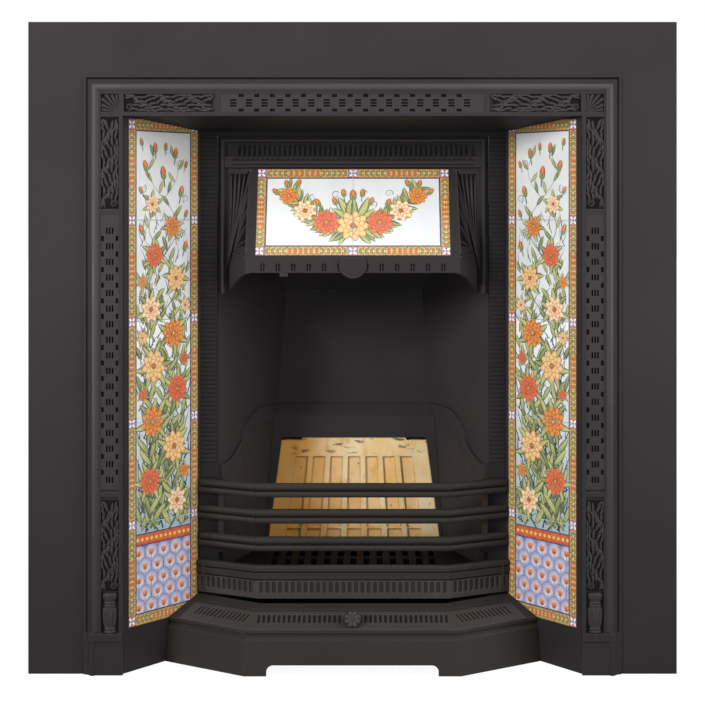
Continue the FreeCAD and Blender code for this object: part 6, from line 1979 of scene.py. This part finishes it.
@dataclass
class Paintings(Ornament):
    """The painted faces of all tiles."""

    tile: float = 152.4
    splay_edge: float = 341.0
    splay_run: Place = (-0.6115, 0.7912)
    tile_start: float = 10.0
    tile_bottom: float = 65.0
    sunk: float = 1.47
    hood_depth: float = 70.0
    hood_bottom: float = 619.0
    hood_tilt: float = 26.7
    hood_shift: float = 0.75

    def build(self) -> None:
        """Paints the side panels and the hood's two tiles."""
        flora = Flora()
        run_x, run_y = self.splay_run
        far = self.tile_start + self.tile
        origin = at(self.splay_edge + run_x * far + run_y * self.sunk, run_y * far - run_x * self.sunk,
                    self.tile_bottom)
        splay = Facet(origin, Vector((-run_x, -run_y, 0)), UP)
        for piece in SidePanel(flora, "right_tile_painting", 1, 5).paint():
            finish_pair(placed(piece, splay), self.finishes.paint, slot=Slot.TILE)
        tilt = math.radians(self.hood_tilt)
        up = Vector((0, math.sin(tilt), math.cos(tilt)))
        back = Vector((0, math.cos(tilt), -math.sin(tilt)))
        corner = at(-self.tile, self.hood_depth, self.hood_bottom)
        hood = Facet(corner + back * self.sunk * MM + up * self.hood_shift * MM, RIGHT, up)
        for piece in HoodPanel(flora, "hood_tile_painting", 2, 1).paint():
            finish_piece(placed(piece, hood), self.finishes.paint, slot=Slot.TILE)
        flora.clear()


# ------------------------------------------------------------------ studio
@dataclass
class Studio:
    """Camera, lamps, world and floor."""

    LAMPS = (("key", (-2.3, -2.5, 1.55), 1.0, 98.0), ("fill", (2.3, -1.6, 1.6), 2.0, 76.0),
             ("front", (0.0, -3.6, 1.1), 2.2, 7.0), ("top", (0.0, -0.95, 3.0), 1.0, 12.0),
             ("back", (0.6, 3.0, 1.8), 2.0, 50.0))
    TARGET = (0, 0, 0.45)
    WHITE = (1, 1, 1, 1)
    MATT = (0.4, 0.4, 0.4, 1)
    camera_side: float = 20.0
    camera_depth: float = -2467.0
    camera_height: float = 694.0
    focal_px: float = 1658.0
    image_px: float = 705.0
    horizon_px: float = 207.4
    ambient: float = 0.26
    floor_size: float = 40.0
    floor_drop: float = 0.4
    floor_glow: float = 1.18
    glow_spread: tuple[float, float, float, float] = (0.9, 2.6, 0.8, 1.0)

    def build(self) -> None:
        """Sets up everything that isn't the fireplace."""
        self.camera()
        self.lamps()
        self.world()
        self.floor()
        bpy.context.scene.view_settings.view_transform = "Standard"

    def added(self, data: bpy.types.ID, place: Vector) -> bpy.types.Object:
        """Adds a camera or a lamp to the scene.

        Args:
            data: the camera or the lamp.
            place: its place in metres.

        Returns:
            The new object.
        """
        obj = bpy.data.objects.new(data.name, data)
        obj.location = place
        bpy.context.scene.collection.objects.link(obj)
        return obj

    def camera(self) -> None:
        """Places the camera level in front of the plate."""
        data = bpy.data.cameras.new("camera")
        data.sensor_width = 36.0
        data.lens = self.focal_px / self.image_px * data.sensor_width
        data.shift_x = -self.camera_side * self.focal_px / -self.camera_depth / self.image_px
        data.shift_y = (self.horizon_px - self.image_px / 2) / self.image_px
        data.clip_end = 50.0
        camera = self.added(data, at(self.camera_side, self.camera_depth, self.camera_height))
        camera.rotation_euler = (math.pi / 2, 0, 0)
        bpy.context.scene.camera = camera

    def lamps(self) -> None:
        """Hangs the soft boxes."""
        for name, place, size, power in self.LAMPS:
            light = bpy.data.lights.new(name, "AREA")
            light.shape = "SQUARE"
            light.size = size
            light.energy = power
            lamp = self.added(light, Vector(place))
            lamp.rotation_euler = (Vector(self.TARGET) - Vector(place)).to_track_quat("-Z", "Y").to_euler()

    def world(self) -> None:
        """Makes the white surroundings and their soft light."""
        world = bpy.data.worlds.new("studio")
        bpy.context.scene.world = world
        world.use_nodes = True
        nodes = Nodes(world.node_tree)
        strength = nodes.ranged(nodes.seen(), 0.0, 1.0, self.ambient, 1.0)
        back = nodes.add("Background", {"Color": self.WHITE, "Strength": strength})[0]
        nodes.add("OutputWorld", {"Surface": back})

    def floor(self) -> None:
        """Lays the white floor that keeps the fireplace's shadow."""
        pick()
        bpy.ops.mesh.primitive_plane_add(size=self.floor_size, location=(0, 0, -self.floor_drop * MM))
        floor = settle(named("floor"))
        recipe = Recipe("white_floor")
        matt = recipe.add("BsdfDiffuse", {"Color": self.MATT})[0]
        glow = recipe.add("Emission", {"Strength": self.floor_glow})[0]
        away = recipe.add("VectorMath", {0: recipe.place}, operation="LENGTH")["Value"]
        share = recipe.combine("MULTIPLY", recipe.seen(), recipe.ranged(away, *self.glow_spread))
        mix = recipe.add("MixShader", {0: share, 1: matt, 2: glow})[0]
        recipe.add("OutputMaterial", {"Surface": mix})
        floor.data.materials.append(recipe.material)


def main() -> None:
    """Builds the dressed fireplace."""
    logging.basicConfig(level=logging.INFO, format="%(name)s %(message)s")
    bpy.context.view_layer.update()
    finishes = Finishes()
    finishes.dress_nodes()
    for group in (Surround, Arch, HoodDress, Hearth, Mouldings, Rosette, Paintings):
        group(finishes).build()
    Studio().build()


if __name__ == "__main__":
    main()
